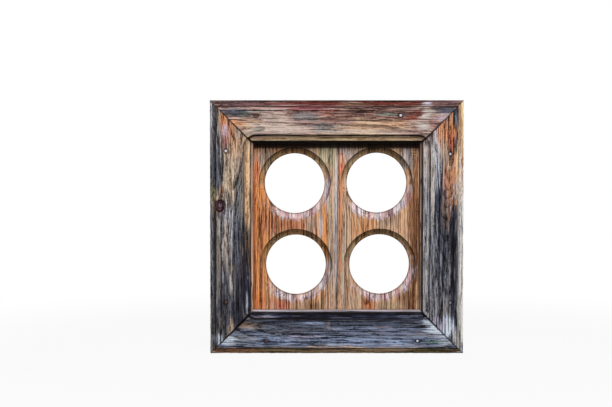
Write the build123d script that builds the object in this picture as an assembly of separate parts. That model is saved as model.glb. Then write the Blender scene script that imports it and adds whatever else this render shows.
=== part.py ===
from build123d import *

import math
import os

# A square wooden window with four round openings, seen from the front.
# X runs to the right, Z runs up, and the front faces -Y. All sizes are in millimetres.
# The pieces are built round the middle of the window, with the casing's back on Y = 0,
# and are moved at the end so that the origin is the middle of the sub-frame's underside.

# Casing: four mitred boards that cover the sub-frame and lap over the wall
casing_side = 600.0
casing_width = 96.0
casing_thick = 28.0
wall_overlap = 12.0
reveal = 6.0

# Cove with a quirk, run along both edges of the casing and round each opening
cove_radius = 14.5
quirk_depth = 2.0
guide_radius = 14.0

# Mitres that have opened as the wood shrank: gap at the outer corner, gap at the inner corner
mitre_gaps = {
    "top_left": (0.5, 2.4),
    "top_right": (0.4, 2.8),
    "bottom_right": (2.6, 3.2),
    "bottom_left": (0.8, 4.6),
}

# Sub-frame: mitred half-laps at the corners, rebated from the back for the panel
lip_depth = 10.0
rebate_width = 15.0

# Panel: two boards with a tongue and groove; their joint leans a little
panel_thick = 27.0
panel_side_room = 1.5
panel_top_room = 3.0
joint_top = 4.0
joint_bottom = 0.0
joint_gap = 1.0
tongue_front = 14.0
tongue_thick = 8.0
tongue_length = 8.0
tongue_room = 0.3
groove_room = 1.0

# Round openings, placed from the middle of the window: across, up
opening_radius = 71.5
left_openings = [(-99.7, 102.9), (-96.7, -91.4)]
right_openings = [(95.9, 104.2), (102.7, -90.7)]

# Beads that hold the panel in its rebate from behind
bead_depth = 13.0
bead_splay = 4.0
bead_gap = 0.4

# One peg through each half-lap, placed as shares of the sub-frame's width: across, up
peg_radius = 6.0
peg_across = 0.36
peg_up = 0.74

# Casing nails, cut from plate with a round head.
# Their places run along each board, clockwise round the window, with an inset from its outer edge.
nail_length = 60.0
nail_width = 3.4
nail_tip = 1.6
nail_thick = 2.6
nail_head_radius = 2.6
nail_head_thick = 1.2
nail_spots = {
    "top": [(-190.0, 37.0), (149.5, 36.5)],
    "right": [(-173.0, 33.0), (178.0, 32.0)],
    "bottom": [(-191.0, 31.5), (167.0, 31.5)],
    "left": [(-176.0, 39.0), (180.0, 39.0)],
}

# Bead pins: brads cut from thinner plate, with a lip on one side for a head
pin_count = 3
pin_length = 25.0
pin_width = 2.0
pin_tip = 0.9
pin_thick = 1.2
pin_lip = 0.6
pin_lip_thick = 0.8

# Room round each peg, nail and pin
fixing_room = 0.05

# How far a cutter runs past the wood that it cuts
overcut = 5.0

# Worked out from the sizes above
casing_half = casing_side / 2
lip_half = casing_half - casing_width
frame_half = casing_half - wall_overlap
frame_open = lip_half - reveal
frame_width = frame_half - frame_open
frame_depth = lip_depth + panel_thick + bead_depth
lap_depth = frame_depth / 2
rebate_half = frame_open + rebate_width
panel_front = lip_depth
panel_back = lip_depth + panel_thick

# Each side in clockwise order: its turn about Y, and its corners at the near and far end
sides = {
    "top": (0, "top_left", "top_right"),
    "right": (90, "top_right", "bottom_right"),
    "bottom": (180, "bottom_right", "bottom_left"),
    "left": (270, "bottom_left", "top_left"),
}


def prism(points, y_from, y_to):
    """A block whose outline is given in X and Z."""
    outline = Polyline(*[(x, y_from, z) for x, z in points], close=True)
    return extrude(make_face(outline), amount=y_to - y_from, dir=(0, 1, 0))


def box_between(x_from, x_to, y_from, y_to, z_from, z_to):
    corners = [(x_from, z_from), (x_to, z_from), (x_to, z_to), (x_from, z_to)]
    return prism(corners, y_from, y_to)


def put_on(side, shape):
    """Turns a shape built for the top side to its own side."""
    return Rot(0, sides[side][0], 0) * shape


def mitred_block(inner, outer, y_from, y_to, near_gap=(0, 0), far_gap=(0, 0)):
    """A top member with 45 degree ends, each held back by half of its mitre's gap."""
    near_outer, near_inner = [gap / math.sqrt(2) for gap in near_gap]
    far_outer, far_inner = [gap / math.sqrt(2) for gap in far_gap]
    points = [
        (-outer + near_outer, outer),
        (outer - far_outer, outer),
        (inner - far_inner, inner),
        (-inner + near_inner, inner),
    ]
    return prism(points, y_from, y_to)


def cove_section(guide, face):
    """What the moulding cutter removes, from its axis outwards, below a face at Y = face."""
    rim = guide + cove_radius
    shoulder = face + quirk_depth
    foot = shoulder + cove_radius
    diagonal = cove_radius * math.sqrt(0.5)
    top = face - overcut
    wall = Polyline((0, top), (rim, top), (rim, shoulder))
    cove = ThreePointArc((rim, shoulder), (guide + diagonal, shoulder + diagonal), (guide, foot))
    base = Polyline((guide, foot), (0, foot), (0, top))
    return make_face([wall, cove, base])


def cove_round(guide, face):
    """The cutter turned on the spot, as round an opening or in an inside corner."""
    return revolve(cove_section(guide, face), Axis.Y)


def cove_run(length, face):
    """The cutter run straight, to the right and left of the middle, opening upwards."""
    run = extrude(cove_section(guide_radius, face), amount=length / 2, dir=(0, 0, 1), both=True)
    return Rot(0, -90, 0) * run


def tapered_shank(length, width, tip_width, thick, room=0.0):
    """A cut nail's shank along +Y from Y = 0, or its hole where room is given."""
    top, tip = width / 2 + room, tip_width / 2 + room
    end = length + room
    outline = [(-top, -room), (top, -room), (tip, end), (-tip, end)]
    face = make_face(Polyline(*outline, close=True))
    return extrude(face, amount=thick / 2 + room, dir=(0, 0, 1), both=True)


def casing_nail(room=0.0):
    shank = tapered_shank(nail_length, nail_width, nail_tip, nail_thick, room)
    head = Cylinder(
        nail_head_radius + room,
        nail_head_thick + 2 * room,
        align=(Align.CENTER, Align.CENTER, Align.MIN),
    )
    return shank + Pos(0, -room, 0) * Rot(-90, 0, 0) * head


def bead_pin(room=0.0):
    """A brad along +Z, its lip towards +X."""
    shank = tapered_shank(pin_length, pin_width, pin_tip, pin_thick, room)
    lip = Box(
        pin_width / 2 + pin_lip + room,
        pin_lip_thick + 2 * room,
        pin_thick + 2 * room,
        align=(Align.MIN, Align.MIN, Align.CENTER),
    )
    return Rot(90, 0, 0) * (shank + Pos(0, -room, 0) * lip)


def nails_of(side, room=0.0):
    spots = nail_spots[side]
    return [Pos(x, -casing_thick, casing_half - inset) * casing_nail(room) for x, inset in spots]


def pins_of_bead(room=0.0):
    pitch = 2 * frame_open / pin_count
    middle = (pin_count - 1) / 2
    y = panel_back + (bead_depth - bead_splay) / 2
    return [Pos((i - middle) * pitch, y, frame_open) * bead_pin(room) for i in range(pin_count)]


def all_pegs(room=0.0):
    """The four pegs, each through a rail's front half and a jamb's back half."""
    across = frame_open + peg_across * frame_width
    up = frame_open + peg_up * frame_width
    peg = Rot(-90, 0, 0) * Cylinder(
        peg_radius + room, frame_depth + 2 * room, align=(Align.CENTER, Align.CENTER, Align.MIN)
    )
    return [Pos(x, -room, z) * peg for x in (-across, across) for z in (-up, up)]


def casing_board(side):
    """A mitred board, moulded along its outer edge and round the inside of the casing."""
    near, far = sides[side][1:]
    board = mitred_block(
        lip_half, casing_half, -casing_thick, 0, mitre_gaps[near], mitre_gaps[far]
    )
    guide_line = lip_half - guide_radius
    inner_run = Pos(0, 0, guide_line) * cove_run(2 * guide_line, -casing_thick)
    outer_run = Rot(0, 180, 0) * cove_run(casing_side + 2 * overcut, -casing_thick)
    board -= [inner_run, Pos(0, 0, casing_half + guide_radius) * outer_run]
    corner_cut = cove_round(guide_radius, -casing_thick)
    board -= [Pos(x, 0, guide_line) * corner_cut for x in (-guide_line, guide_line)]
    board -= nails_of(side, fixing_room)
    return put_on(side, board)


def frame_member(side):
    """A rail or jamb of the sub-frame. The jambs' back halves run through the corners."""
    back_half = frame_half if side in ("left", "right") else frame_open
    member = mitred_block(frame_open, frame_half, 0, lap_depth)
    member += box_between(-back_half, back_half, lap_depth, frame_depth, frame_open, frame_half)
    member -= box_between(
        -rebate_half, rebate_half, panel_front, frame_depth + overcut, 0, rebate_half
    )
    member -= nails_of(side, fixing_room) + pins_of_bead(fixing_room)
    return put_on(side, member) - all_pegs(fixing_room)


def joint_line(offset, z):
    """Where the boards' joint lies across the window, at a height above its middle."""
    share = (z + rebate_half) / (2 * rebate_half)
    return joint_bottom + share * (joint_top - joint_bottom) + offset


def joint_band(near_offset, far_offset, y_from, y_to, foot, head):
    """A band between two lines that follow the leaning joint."""
    points = [
        (joint_line(near_offset, foot), foot),
        (joint_line(far_offset, foot), foot),
        (joint_line(far_offset, head), head),
        (joint_line(near_offset, head), head),
    ]
    return prism(points, y_from, y_to)


def panel_board(hand):
    """One board, out to the rebate on one side and to the leaning joint on the other."""
    foot, head = -rebate_half, rebate_half - panel_top_room
    side = hand * (rebate_half - panel_side_room)
    edge = hand * joint_gap / 2
    points = [
        (side, foot),
        (joint_line(edge, foot), foot),
        (joint_line(edge, head), head),
        (side, head),
    ]
    return prism(points, panel_front, panel_back)


def cut_openings(board, centres):
    """Saws each round opening and moulds its front edge."""
    for x, z in centres:
        sawn = Rot(-90, 0, 0) * Cylinder(opening_radius, 4 * panel_thick)
        board -= Pos(x, 0, z) * sawn
        board -= Pos(x, 0, z) * cove_round(opening_radius, panel_front)
    return board


def panel_board_left():
    tongue_y = panel_front + tongue_front
    start = -joint_gap / 2
    board = panel_board(-1)
    board += joint_band(
        start - joint_gap,
        start + tongue_length,
        tongue_y,
        tongue_y + tongue_thick,
        -rebate_half,
        rebate_half - panel_top_room,
    )
    return cut_openings(board, left_openings)


def panel_board_right():
    groove_y = panel_front + tongue_front - tongue_room
    groove_end = -joint_gap / 2 + tongue_length + groove_room
    board = panel_board(1)
    board -= joint_band(
        -overcut,
        groove_end,
        groove_y,
        groove_y + tongue_thick + 2 * tongue_room,
        -rebate_half - overcut,
        rebate_half + overcut,
    )
    return cut_openings(board, right_openings)


def bead(side):
    """A mitred bead with its inner back edge splayed off."""
    gaps = (bead_gap, bead_gap)
    strip = mitred_block(frame_open, rebate_half, panel_back, frame_depth, gaps, gaps)
    splay = min(bead_splay, bead_depth - 1, rebate_width - 1)
    corner = [
        (-frame_half, frame_depth - splay, frame_open),
        (-frame_half, frame_depth, frame_open + splay),
        (-frame_half, frame_depth, frame_open),
    ]
    wedge = extrude(make_face(Polyline(*corner, close=True)), amount=2 * frame_half, dir=(1, 0, 0))
    strip -= wedge
    strip -= pins_of_bead(fixing_room)
    return put_on(side, strip)


def place(shape):
    """Moves the window so that the origin is the middle of the sub-frame's underside."""
    return Pos(0, -frame_depth / 2, frame_half) * shape


def gather(solids):
    return Compound([solid for group in solids for solid in group.solids()])


def save(name, shape):
    export_step(place(shape), os.path.join("parts", name + ".step"))


os.makedirs("parts", exist_ok=True)

for name in sides:
    save("casing_" + name, casing_board(name))

save("frame_head", frame_member("top"))
save("frame_sill", frame_member("bottom"))
save("frame_jamb_left", frame_member("left"))
save("frame_jamb_right", frame_member("right"))

save("panel_board_left", panel_board_left())
save("panel_board_right", panel_board_right())

for name in sides:
    save("bead_" + name, bead(name))

save("frame_pegs", gather(all_pegs()))
save("casing_nails", gather([put_on(name, n) for name in sides for n in nails_of(name)]))
save("bead_pins", gather([put_on(name, pin) for name in sides for pin in pins_of_bead()]))
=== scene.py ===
import bpy
import math
import numpy as np
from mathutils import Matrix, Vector


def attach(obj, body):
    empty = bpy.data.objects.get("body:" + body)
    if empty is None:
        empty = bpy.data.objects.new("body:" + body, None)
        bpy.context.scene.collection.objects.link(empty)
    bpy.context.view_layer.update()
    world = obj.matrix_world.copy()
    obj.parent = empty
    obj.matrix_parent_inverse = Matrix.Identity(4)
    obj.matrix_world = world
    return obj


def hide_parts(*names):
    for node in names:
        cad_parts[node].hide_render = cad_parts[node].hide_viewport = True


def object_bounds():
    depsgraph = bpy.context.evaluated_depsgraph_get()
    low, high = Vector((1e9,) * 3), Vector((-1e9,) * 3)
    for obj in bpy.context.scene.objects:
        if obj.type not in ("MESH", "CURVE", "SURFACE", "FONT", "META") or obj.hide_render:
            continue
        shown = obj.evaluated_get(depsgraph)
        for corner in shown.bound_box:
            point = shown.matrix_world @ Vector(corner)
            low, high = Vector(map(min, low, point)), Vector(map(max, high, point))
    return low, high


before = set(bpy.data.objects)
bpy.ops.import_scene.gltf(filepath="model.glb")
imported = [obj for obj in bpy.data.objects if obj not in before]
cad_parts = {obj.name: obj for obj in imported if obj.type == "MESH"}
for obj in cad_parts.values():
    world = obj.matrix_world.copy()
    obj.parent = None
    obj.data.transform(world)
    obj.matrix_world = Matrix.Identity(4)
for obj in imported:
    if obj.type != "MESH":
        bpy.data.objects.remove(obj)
solidBox = [list(corner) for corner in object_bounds()]
print("window: solids loaded")

# the same sizes as the solids, in millimetres from the middle of the window
window = {
    "casingHalf": 300.0,
    "lipHalf": 204.0,
    "casingThick": 28.0,
    "coveRadius": 14.5,
    "quirkDepth": 2.0,
    "guideRadius": 14.0,
    "frameHalf": 288.0,
    "frameOpen": 198.0,
    "frameDepth": 50.0,
    "panelFront": 10.0,
    "panelBack": 37.0,
    "rebateHalf": 213.0,
}
perMetre = 1000.0
slope = math.sqrt(0.5)


def toFrame(points):
    moved = np.array(points, float)
    moved[:, 1] -= window["frameDepth"] / 2
    moved[:, 2] += window["frameHalf"]
    return moved / perMetre


# value noise on a lattice of hashed numbers
hashing = {
    "axes": (73856093, 19349663, 83492791),
    "seed": 40503,
    "stirs": ((15, 0x2C1B3C6D), (12, 0x297A2D39)),
    "lastShift": 15,
    "mask": 0x7FFFFFFF,
    "layerStep": 17,
}

# every use of noise on a board: its step from the board's seed, its cells along and across in mm, its layers
noises = {
    "rough": (2, 70, 22, 2),
    "chips": (3, 7, 7, 3),
    "softWood": (4, 60, 6, 2),
    "uneven": (5, 55, 13, 3),
    "knotRough": (5, 6, 6, 2),
    "stain": (6, 32, 6, 2),
    "quirkStain": (6, 22, 22, 2),
    "pits": (8, 9, 2.5, 2),
    "rimStart": (12, 4.5, 60, 3),
    "rimDrift": (13, 18, 18, 2),
    "rimRagged": (14, 4.6, 70, 3),
    "rimRosy": (15, 7, 60, 2),
    "rimFringe": (16, 3.5, 50, 2),
    "streak": (71, 46, 3.4, 3),
    "fine": (81, 15, 2.1, 2),
    "blotch": (91, 24, 12, 3),
}


def lattice(ix, iy, iz, seed):
    mask = hashing["mask"]
    mixed = seed * hashing["seed"]
    for cell, prime in zip((ix, iy, iz), hashing["axes"]):
        mixed = mixed ^ (cell * prime)
    mixed = mixed & mask
    for shift, factor in hashing["stirs"]:
        mixed = ((mixed ^ (mixed >> shift)) * factor) & mask
    return (mixed ^ (mixed >> hashing["lastShift"])) / mask


def noiseAt(x, y, z, seed):
    x, y, z = np.broadcast_arrays(x, y, z)
    cells = [np.floor(c).astype(np.int64) for c in (x, y, z)]
    parts = [c - cell for c, cell in zip((x, y, z), cells)]
    parts = [p * p * (3 - 2 * p) for p in parts]
    total = 0
    for dx, wx in ((0, 1 - parts[0]), (1, parts[0])):
        for dy, wy in ((0, 1 - parts[1]), (1, parts[1])):
            for dz, wz in ((0, 1 - parts[2]), (1, parts[2])):
                corner = lattice(cells[0] + dx, cells[1] + dy, cells[2] + dz, seed)
                total = total + wx * wy * wz * corner
    return 2 * total - 1


def layered(x, y, z, seed, layers=3, gain=0.55):
    total, weight, whole = 0, 1.0, 0.0
    for k in range(layers):
        total = total + weight * noiseAt(x * 2 ** k, y * 2 ** k, z * 2 ** k, seed + hashing["layerStep"] * k)
        whole += weight
        weight *= gain
    return total / whole


def boardNoise(use, seed, u, v, w=0):
    step, long, wide, layers = noises[use]
    return layered(u / long, v / wide, w / wide, seed + step, layers)


def ramp(low, high, value):
    t = np.clip((value - low) / (high - low), 0, 1)
    return t * t * (3 - 2 * t)


def linear(colour):
    c = np.array(colour, float) / 255
    return np.where(c <= 0.04045, c / 12.92, ((c + 0.055) / 1.055) ** 2.4)


# every weathered tone has the colour of its dark fibres and of its light fibres
tones = {
    "driftwood": ((80, 58, 56), (176, 146, 136)),
    "rosyGrey": ((138, 116, 108), (212, 190, 178)),
    "tanPink": ((140, 104, 82), (212, 180, 152)),
    "sand": ((120, 98, 76), (196, 170, 140)),
    "cream": ((150, 130, 100), (222, 208, 176)),
    "orange": ((118, 58, 26), (212, 138, 80)),
    "orangePale": ((124, 72, 46), (226, 166, 122)),
    "deepOrange": ((96, 40, 14), (204, 110, 52)),
    "redOrange": ((110, 40, 28), (206, 112, 84)),
    "maroon": ((26, 6, 8), (104, 48, 42)),
    "plum": ((52, 30, 36), (118, 86, 88)),
    "purpleRed": ((72, 28, 40), (156, 92, 98)),
    "brownPlum": ((72, 44, 40), (150, 112, 102)),
    "lavender": ((104, 92, 112), (192, 180, 204)),
    "lavenderWhite": ((140, 128, 146), (226, 216, 232)),
    "greenGrey": ((52, 60, 52), (120, 128, 118)),
    "greenStreak": ((34, 66, 42), (98, 152, 110)),
    "oliveTan": ((76, 66, 36), (150, 138, 88)),
    "mossYellow": ((70, 66, 30), (150, 140, 84)),
    "umber": ((48, 32, 24), (118, 92, 72)),
    "char": ((6, 6, 10), (46, 46, 58)),
    "navy": ((10, 12, 20), (72, 77, 92)),
    "blackNavy": ((5, 6, 14), (40, 44, 64)),
    "slate": ((30, 33, 43), (98, 102, 116)),
    "blueGrey": ((30, 35, 48), (112, 120, 142)),
    "steelBlue": ((56, 66, 88), (146, 160, 190)),
    "bleachedBlue": ((118, 128, 150), (226, 236, 250)),
    "mottle": ((46, 46, 48), (124, 124, 126)),
    "greyBrown": ((48, 43, 40), (122, 112, 104)),
    "tanGrey": ((84, 70, 60), (176, 154, 136)),
    "paleGrey": ((104, 100, 102), (196, 190, 192)),
    "whiteGrey": ((134, 124, 118), (214, 204, 196)),
    "brownGrey": ((62, 42, 30), (146, 106, 76)),
    "pinkTorn": ((142, 70, 48), (236, 170, 140)),
    "rimWhite": ((150, 138, 154), (248, 242, 250)),
    "rimPink": ((132, 66, 78), (222, 156, 160)),
    "rimOlive": ((48, 40, 18), (152, 128, 80)),
    "redBrown": ((92, 44, 30), (184, 118, 86)),
    "rustTan": ((88, 48, 30), (192, 130, 94)),
    "honey": ((176, 130, 94), (255, 216, 170)),
    "bleachedGrey": ((146, 142, 140), (230, 226, 222)),
    "tanPale": ((128, 106, 90), (222, 198, 172)),
    "tanOrange": ((148, 100, 72), (224, 180, 142)),
    "brownOrange": ((54, 31, 19), (132, 86, 56)),
    "slateGrey": ((46, 46, 52), (132, 130, 136)),
    # tan as it looks in full light, painted on coves that lie in shade
    "tanLit": ((128, 104, 80), (222, 190, 154)),
    "paleSlate": ((92, 92, 98), (188, 188, 196)),
    "greenTan": ((92, 88, 68), (184, 176, 148)),
}

toning = {
    "darkFibres": (0.42, 0.86),     # what is left of the dark fibres' light, in dark and in pale wood
    "paleFibres": (1.35, 1.04),     # and of the light fibres'
    "paleFrom": (0.02, 0.22),       # how light its dark fibres are where wood counts as pale
    "lightest": 0.9,
    "brokenEdge": 0.7,              # how far a patch's edge runs out along the fibres
    "fineEdge": 0.5,
    "blotchEdge": 0.25,
    "patchFade": (1.3, 0.55),       # where a patch begins and is full, in its half-widths
    "veinFade": 0.22,
}


def towards(tone, low, high, mask):
    for values, colour in zip((low, high), tones[tone]):
        values += mask[:, None] * (linear(colour) - values)


def paint(settings, x, z, spread, veinAt):
    low, high = [np.tile(linear(colour), (len(x), 1)) for colour in tones[settings["base"]]]
    for k, (tone, start, amount) in enumerate(settings["veins"]):
        towards(tone, low, high, amount * ramp(start, start + toning["veinFade"], veinAt(k)))
    broken = toning["brokenEdge"] * spread["streak"] + toning["fineEdge"] * spread["fine"]
    broken = broken + toning["blotchEdge"] * spread["blotch"]
    for cx, cz, halfX, halfZ, tone, amount in settings["patches"].values():
        away = np.hypot((x - cx) / halfX, (z - cz) / halfZ)
        towards(tone, low, high, amount * ramp(*toning["patchFade"], away + broken))
    pale = ramp(*toning["paleFrom"], low.mean(axis=1))[:, None]
    shares = (toning["darkFibres"], toning["paleFibres"])
    lowShare, highShare = [inDark + (inPale - inDark) * pale for inDark, inPale in shares]
    return low * lowShare, np.clip(high * highShare, 0, toning["lightest"])


# growth rings, knots and splits, in millimetres along (u), across (v) and into the board (w)
growth = {
    "wander": (190, 0),         # the log's heart wanders over this length sideways, and with this step of its seed
    "sink": (150, 1),
    "sinkDepth": 6,
    "rough": 1.4,
    "lateWood": (0.55, 0.9, 0.93),  # where late wood begins, is full and ends in a ring
    "knotShape": (1.15, 3.2),
    "knotRough": 0.26,
    "knotEdge": (1.12, 0.92),
    "knotRing": 0.16,
    "parting": 0.8,             # how much the fibres part round a knot
    "partingShape": (1.5, 1.7),
    "softWood": (0.6, 0.4),     # what is always lost between the rings, and what comes and goes
}

splitting = {
    "wander": (38, 3.1, 1.6),   # over what length, with what step to the next split, and how far
    "swell": (9, 1.7, 50),      # over what length, with what step to the next split and of the seed
    "width": (0.75, 0.35),
    "bottom": 0.6,              # below 1 a split is more open towards its bottom
    "halfLengths": (14, 70),
    "widths": (0.5, 1.0),
    "depths": (0.4, 1.0),
}


def ringsOf(u, v, w, log, knots):
    seed = log["seed"]
    wander, sink = [noiseAt(u / length, 0, 0, seed + step) for length, step in (growth["wander"], growth["sink"])]
    centreV = log["across"] + log["lean"] * u + log["wander"] * wander
    centreW = log["behind"] + log["rise"] * u + growth["sinkDepth"] * sink
    radius = np.hypot(v - centreV, w - centreW)
    radius = radius + growth["rough"] * boardNoise("rough", seed, u, v, w)
    ring = radius / log["spacing"]
    knotMask = np.zeros_like(u)
    long, wide = growth["knotShape"]
    for ku, kv, size in knots:
        edge, full = [share * size for share in growth["knotEdge"]]
        away = np.hypot((u - ku) / long, (v - kv) * wide)
        away = away + growth["knotRough"] * size * boardNoise("knotRough", seed, u, v)
        inside = ramp(edge, full, away)
        ring = ring * (1 - inside) + inside * away / (growth["knotRing"] * size)
        knotMask = np.maximum(knotMask, np.clip(1 - away / edge, 0, 1))
    return ring, knotMask


def aroundKnots(u, v, knots):
    # the fibres part round a knot and close again behind it
    long, reach = growth["partingShape"]
    for ku, kv, size in knots:
        away = np.hypot((u - ku) / long, v - kv)
        v = kv + (v - kv) * (1 - growth["parting"] * np.exp(-(away / (reach * size)) ** 2))
    return v


def splitsAt(u, v, splits, seed):
    depth = np.zeros_like(u)
    bendLength, bendStep, bend = splitting["wander"]
    swellLength, swellStep, seedStep = splitting["swell"]
    least, more = splitting["width"]
    for k, (su, sv, halfLength, width, deep) in enumerate(splits):
        t = np.clip(np.abs(u - su) / halfLength, 0, 1)
        middle = sv + bend * layered(u / bendLength, k * bendStep, 0, seed + k, 2)
        swell = noiseAt(u / swellLength, k * swellStep, 0, seed + seedStep)
        half = width * np.sqrt(1 - t * t) * (least + more * swell) + 1e-6
        near = np.clip(1 - np.abs(v - middle) / half, 0, 1)
        near = np.where(t < 1, near, 0)
        depth = np.maximum(depth, deep * near ** splitting["bottom"])
    return depth


def scatteredSplits(seed, amounts):
    dice = np.random.default_rng(seed)
    made = []
    for _ in range(amounts["count"]):
        made.append((
            dice.uniform(-amounts["spanU"], amounts["spanU"]),
            dice.uniform(*amounts["spanV"]),
            dice.uniform(*splitting["halfLengths"]),
            dice.uniform(*splitting["widths"]) * amounts["width"],
            dice.uniform(*splitting["depths"]) * amounts["deep"],
        ))
    return made


def weathered(settings, sizes, u, v, w, spanV):
    # a board's rings, knots and splits, and what it has lost between its rings and by uneven wear
    seed = settings["log"]["seed"]
    knots = settings.get("knots", ())
    ring, knot = ringsOf(u, aroundKnots(u, v, knots), w, settings["log"], knots)
    phase = ring - np.floor(ring)
    begins, full, ends = growth["lateWood"]
    soft = 1 - ramp(begins, full, phase) * ramp(1.0, ends, phase)
    split = splitsAt(u, v, settings["splits"] + scatteredSplits(seed, {**sizes["scattered"], "spanV": spanV}), seed)
    least, more = growth["softWood"]
    wear = sizes["lostSoftWood"] * soft * (least + more * boardNoise("softWood", seed, u, v, w))
    wear = wear + sizes["unevenness"] * (0.5 + 0.5 * boardNoise("uneven", seed, u, v, w))
    return {"ring": ring, "knot": knot, "split": split}, wear


def makeMesh(name, points, faces):
    mesh = bpy.data.meshes.new(name)
    mesh.from_pydata([tuple(p) for p in points], [], faces)
    mesh.validate(clean_customdata=False)
    mesh.update()
    piece = bpy.data.objects.new(name, mesh)
    bpy.context.scene.collection.objects.link(piece)
    return piece


def setValues(piece, name, kind, values):
    layer = piece.data.attributes.new(name, kind, "POINT")
    field = {"FLOAT": "value", "FLOAT_VECTOR": "vector", "FLOAT_COLOR": "color"}[kind]
    if kind == "FLOAT_COLOR":
        values = np.concatenate([values, np.ones((len(values), 1))], axis=1)
    layer.data.foreach_set(field, np.asarray(values, np.float32).ravel())


def smoothShade(piece, degrees=38):
    piece.data.shade_smooth()
    piece.data.set_sharp_from_angle(angle=math.radians(degrees))


def weld(points, faces, grain=1e-3):
    keys = np.round(np.asarray(points) / grain).astype(np.int64)
    first, place = np.unique(keys, axis=0, return_index=True, return_inverse=True)[1:]
    place = place.ravel()
    kept = []
    for face in faces:
        corners = [int(place[c]) for c in face]
        corners = [c for k, c in enumerate(corners) if c != corners[k - 1]]
        if len(corners) > 2:
            kept.append(corners)
    return np.asarray(points)[first], kept, first


# casing: four mitred boards, moulded with a cove and quirk on both edges; lengths in millimetres
casing = {
    "columns": 440,
    "lipRows": 7,
    "coveRows": 13,
    "faceRows": 56,
    "blendedBy": 249.0,         # from here outwards the rows of the mesh run straight
    "lostSoftWood": 0.42,       # how far the weather has cut back between the rings
    "unevenness": 0.35,
    "scattered": {"count": 26, "spanU": 280, "width": 1.1, "deep": 1.5},
    "scatteredAcross": (216, 286),
    "arrisWidths": {"quirk": 1.1, "rim": 1.4, "lip": 1.2, "mitre": 1.2},
    "arrisWear": 0.85,
    "arrisRound": 0.12,
    "chips": (-0.25, 0.6),      # between these values of the noise the arrises go from whole to chipped
    "wallFade": 2.5,            # nothing is lost where the board lies on the wall
    "mostLost": 3.2,
    "nailDent": (3.6, 0.5),     # width and depth
    "nailRing": (1.35, 4.2, 1.5),   # rust round a nail: how long it is drawn, its radius and its width
    "nailRun": (3.2, 4.5, 0.55),    # the stain along the grain: how long it is drawn, its width and amount
    "nailRust": 0.95,
    "lineFade": 0.9,
    "lineDirtAndShade": (0.9, 0.45),    # what the dark lines of dirt and painted shade always hold, and what comes and goes
    "mitreDirt": (0.7, 0.75),   # width and amount
}


def coveDrop(into):
    arc = np.sqrt(np.clip(window["coveRadius"] ** 2 - into ** 2, 0, None))
    return window["quirkDepth"] + arc


def casingRows():
    # each row: its line's height, its corner radius, and how it takes its depth
    reach = window["coveRadius"]
    lip, outer = window["lipHalf"], window["casingHalf"]
    bend = window["guideRadius"] + reach
    rows = [(lip, 0.0, "lip", t) for t in np.linspace(0, 1, casing["lipRows"])[:-1]]
    for angle in np.linspace(0, math.pi / 2, casing["coveRows"]):
        into = reach * math.sin(angle)
        rows.append((lip + into, bend * into / reach, "cove", into))
    start, stop = lip + reach, outer - reach
    for height in np.linspace(start, stop, casing["faceRows"]):
        share = np.clip((height - start) / (casing["blendedBy"] - start), 0, 1)
        rows.append((height, bend * (1 - share), "face", 0))
    for angle in np.linspace(math.pi / 2, 0, casing["coveRows"]):
        into = reach * math.sin(angle)
        rows.append((outer - into, 0.0, "outerCove", into))
    rows += [(outer, 0.0, "edge", t) for t in np.linspace(1, 0, casing["lipRows"])[1:]]
    return rows


def rowHeight(x, height, bend):
    if bend <= 0:
        return np.full_like(x, height)
    inset = height - bend
    beyond = np.clip(np.abs(x) - inset, 0, bend)
    return inset + np.sqrt(np.clip(bend ** 2 - beyond ** 2, 0, None))


def mitreEnds(height, bend, gaps):
    # how far out a row ends at either mitre, found by closing in on the mitre's gap
    ends = []
    for outerGap, innerGap in gaps:
        x = np.array([height - bend * (1 - slope)])
        for _ in range(40):
            z = rowHeight(x, height, bend)
            share = (z - window["lipHalf"]) / (window["casingHalf"] - window["lipHalf"])
            back = (innerGap + (outerGap - innerGap) * share) * slope
            x = (x + z - back) / 2
        ends.append(float(x[0]))
    return ends


def casingGrid(gaps):
    rows = casingRows()
    guide = window["lipHalf"] - window["guideRadius"]
    spread = np.linspace(-1, 1, casing["columns"])
    points = np.zeros((len(rows), len(spread), 3))
    toEnd = np.zeros((len(rows), len(spread)))      # distance from the board's own mitre
    for i, (height, bend, kind, amount) in enumerate(rows):
        ends = mitreEnds(height, bend, gaps)
        x = np.where(spread < 0, spread * ends[0], spread * ends[1])
        toEnd[i] = np.where(spread < 0, ends[0] + x, ends[1] - x)
        z = rowHeight(x, height, bend)
        fromGuide = np.hypot(np.clip(np.abs(x) - guide, 0, None), z - guide)
        inner = np.clip(fromGuide - window["guideRadius"], 0, window["coveRadius"])
        face = -window["casingThick"]
        if kind == "lip":
            y = amount * (face + coveDrop(inner))
        elif kind == "cove":
            y = face + coveDrop(inner)
        elif kind == "face":
            y = np.full_like(x, face)
        elif kind == "outerCove":
            y = np.full_like(x, face + coveDrop(np.array(amount)))
        else:
            y = np.full_like(x, amount * (face + coveDrop(np.array(0.0))))
        points[i] = np.stack([x, y, z], axis=1)
    return points, toEnd


def gridNormals(points):
    along = np.gradient(points, axis=1)
    across = np.gradient(points, axis=0)
    normal = np.cross(along, across)
    normal /= np.linalg.norm(normal, axis=2, keepdims=True) + 1e-12
    middle = normal[normal.shape[0] // 2, normal.shape[1] // 2, 1]
    return normal if middle < 0 else -normal


def turned(points, degrees):
    angle = math.radians(degrees)
    x, y, z = points[..., 0], points[..., 1], points[..., 2]
    return np.stack([
        x * math.cos(angle) + z * math.sin(angle),
        y,
        -x * math.sin(angle) + z * math.cos(angle),
    ], axis=-1)


nailSpots = {
    "top": ((-190.0, 37.0), (149.5, 36.5)),
    "right": ((-173.0, 33.0), (178.0, 32.0)),
    "bottom": ((-191.0, 31.5), (167.0, 31.5)),
    "left": ((-176.0, 39.0), (180.0, 39.0)),
}

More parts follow.
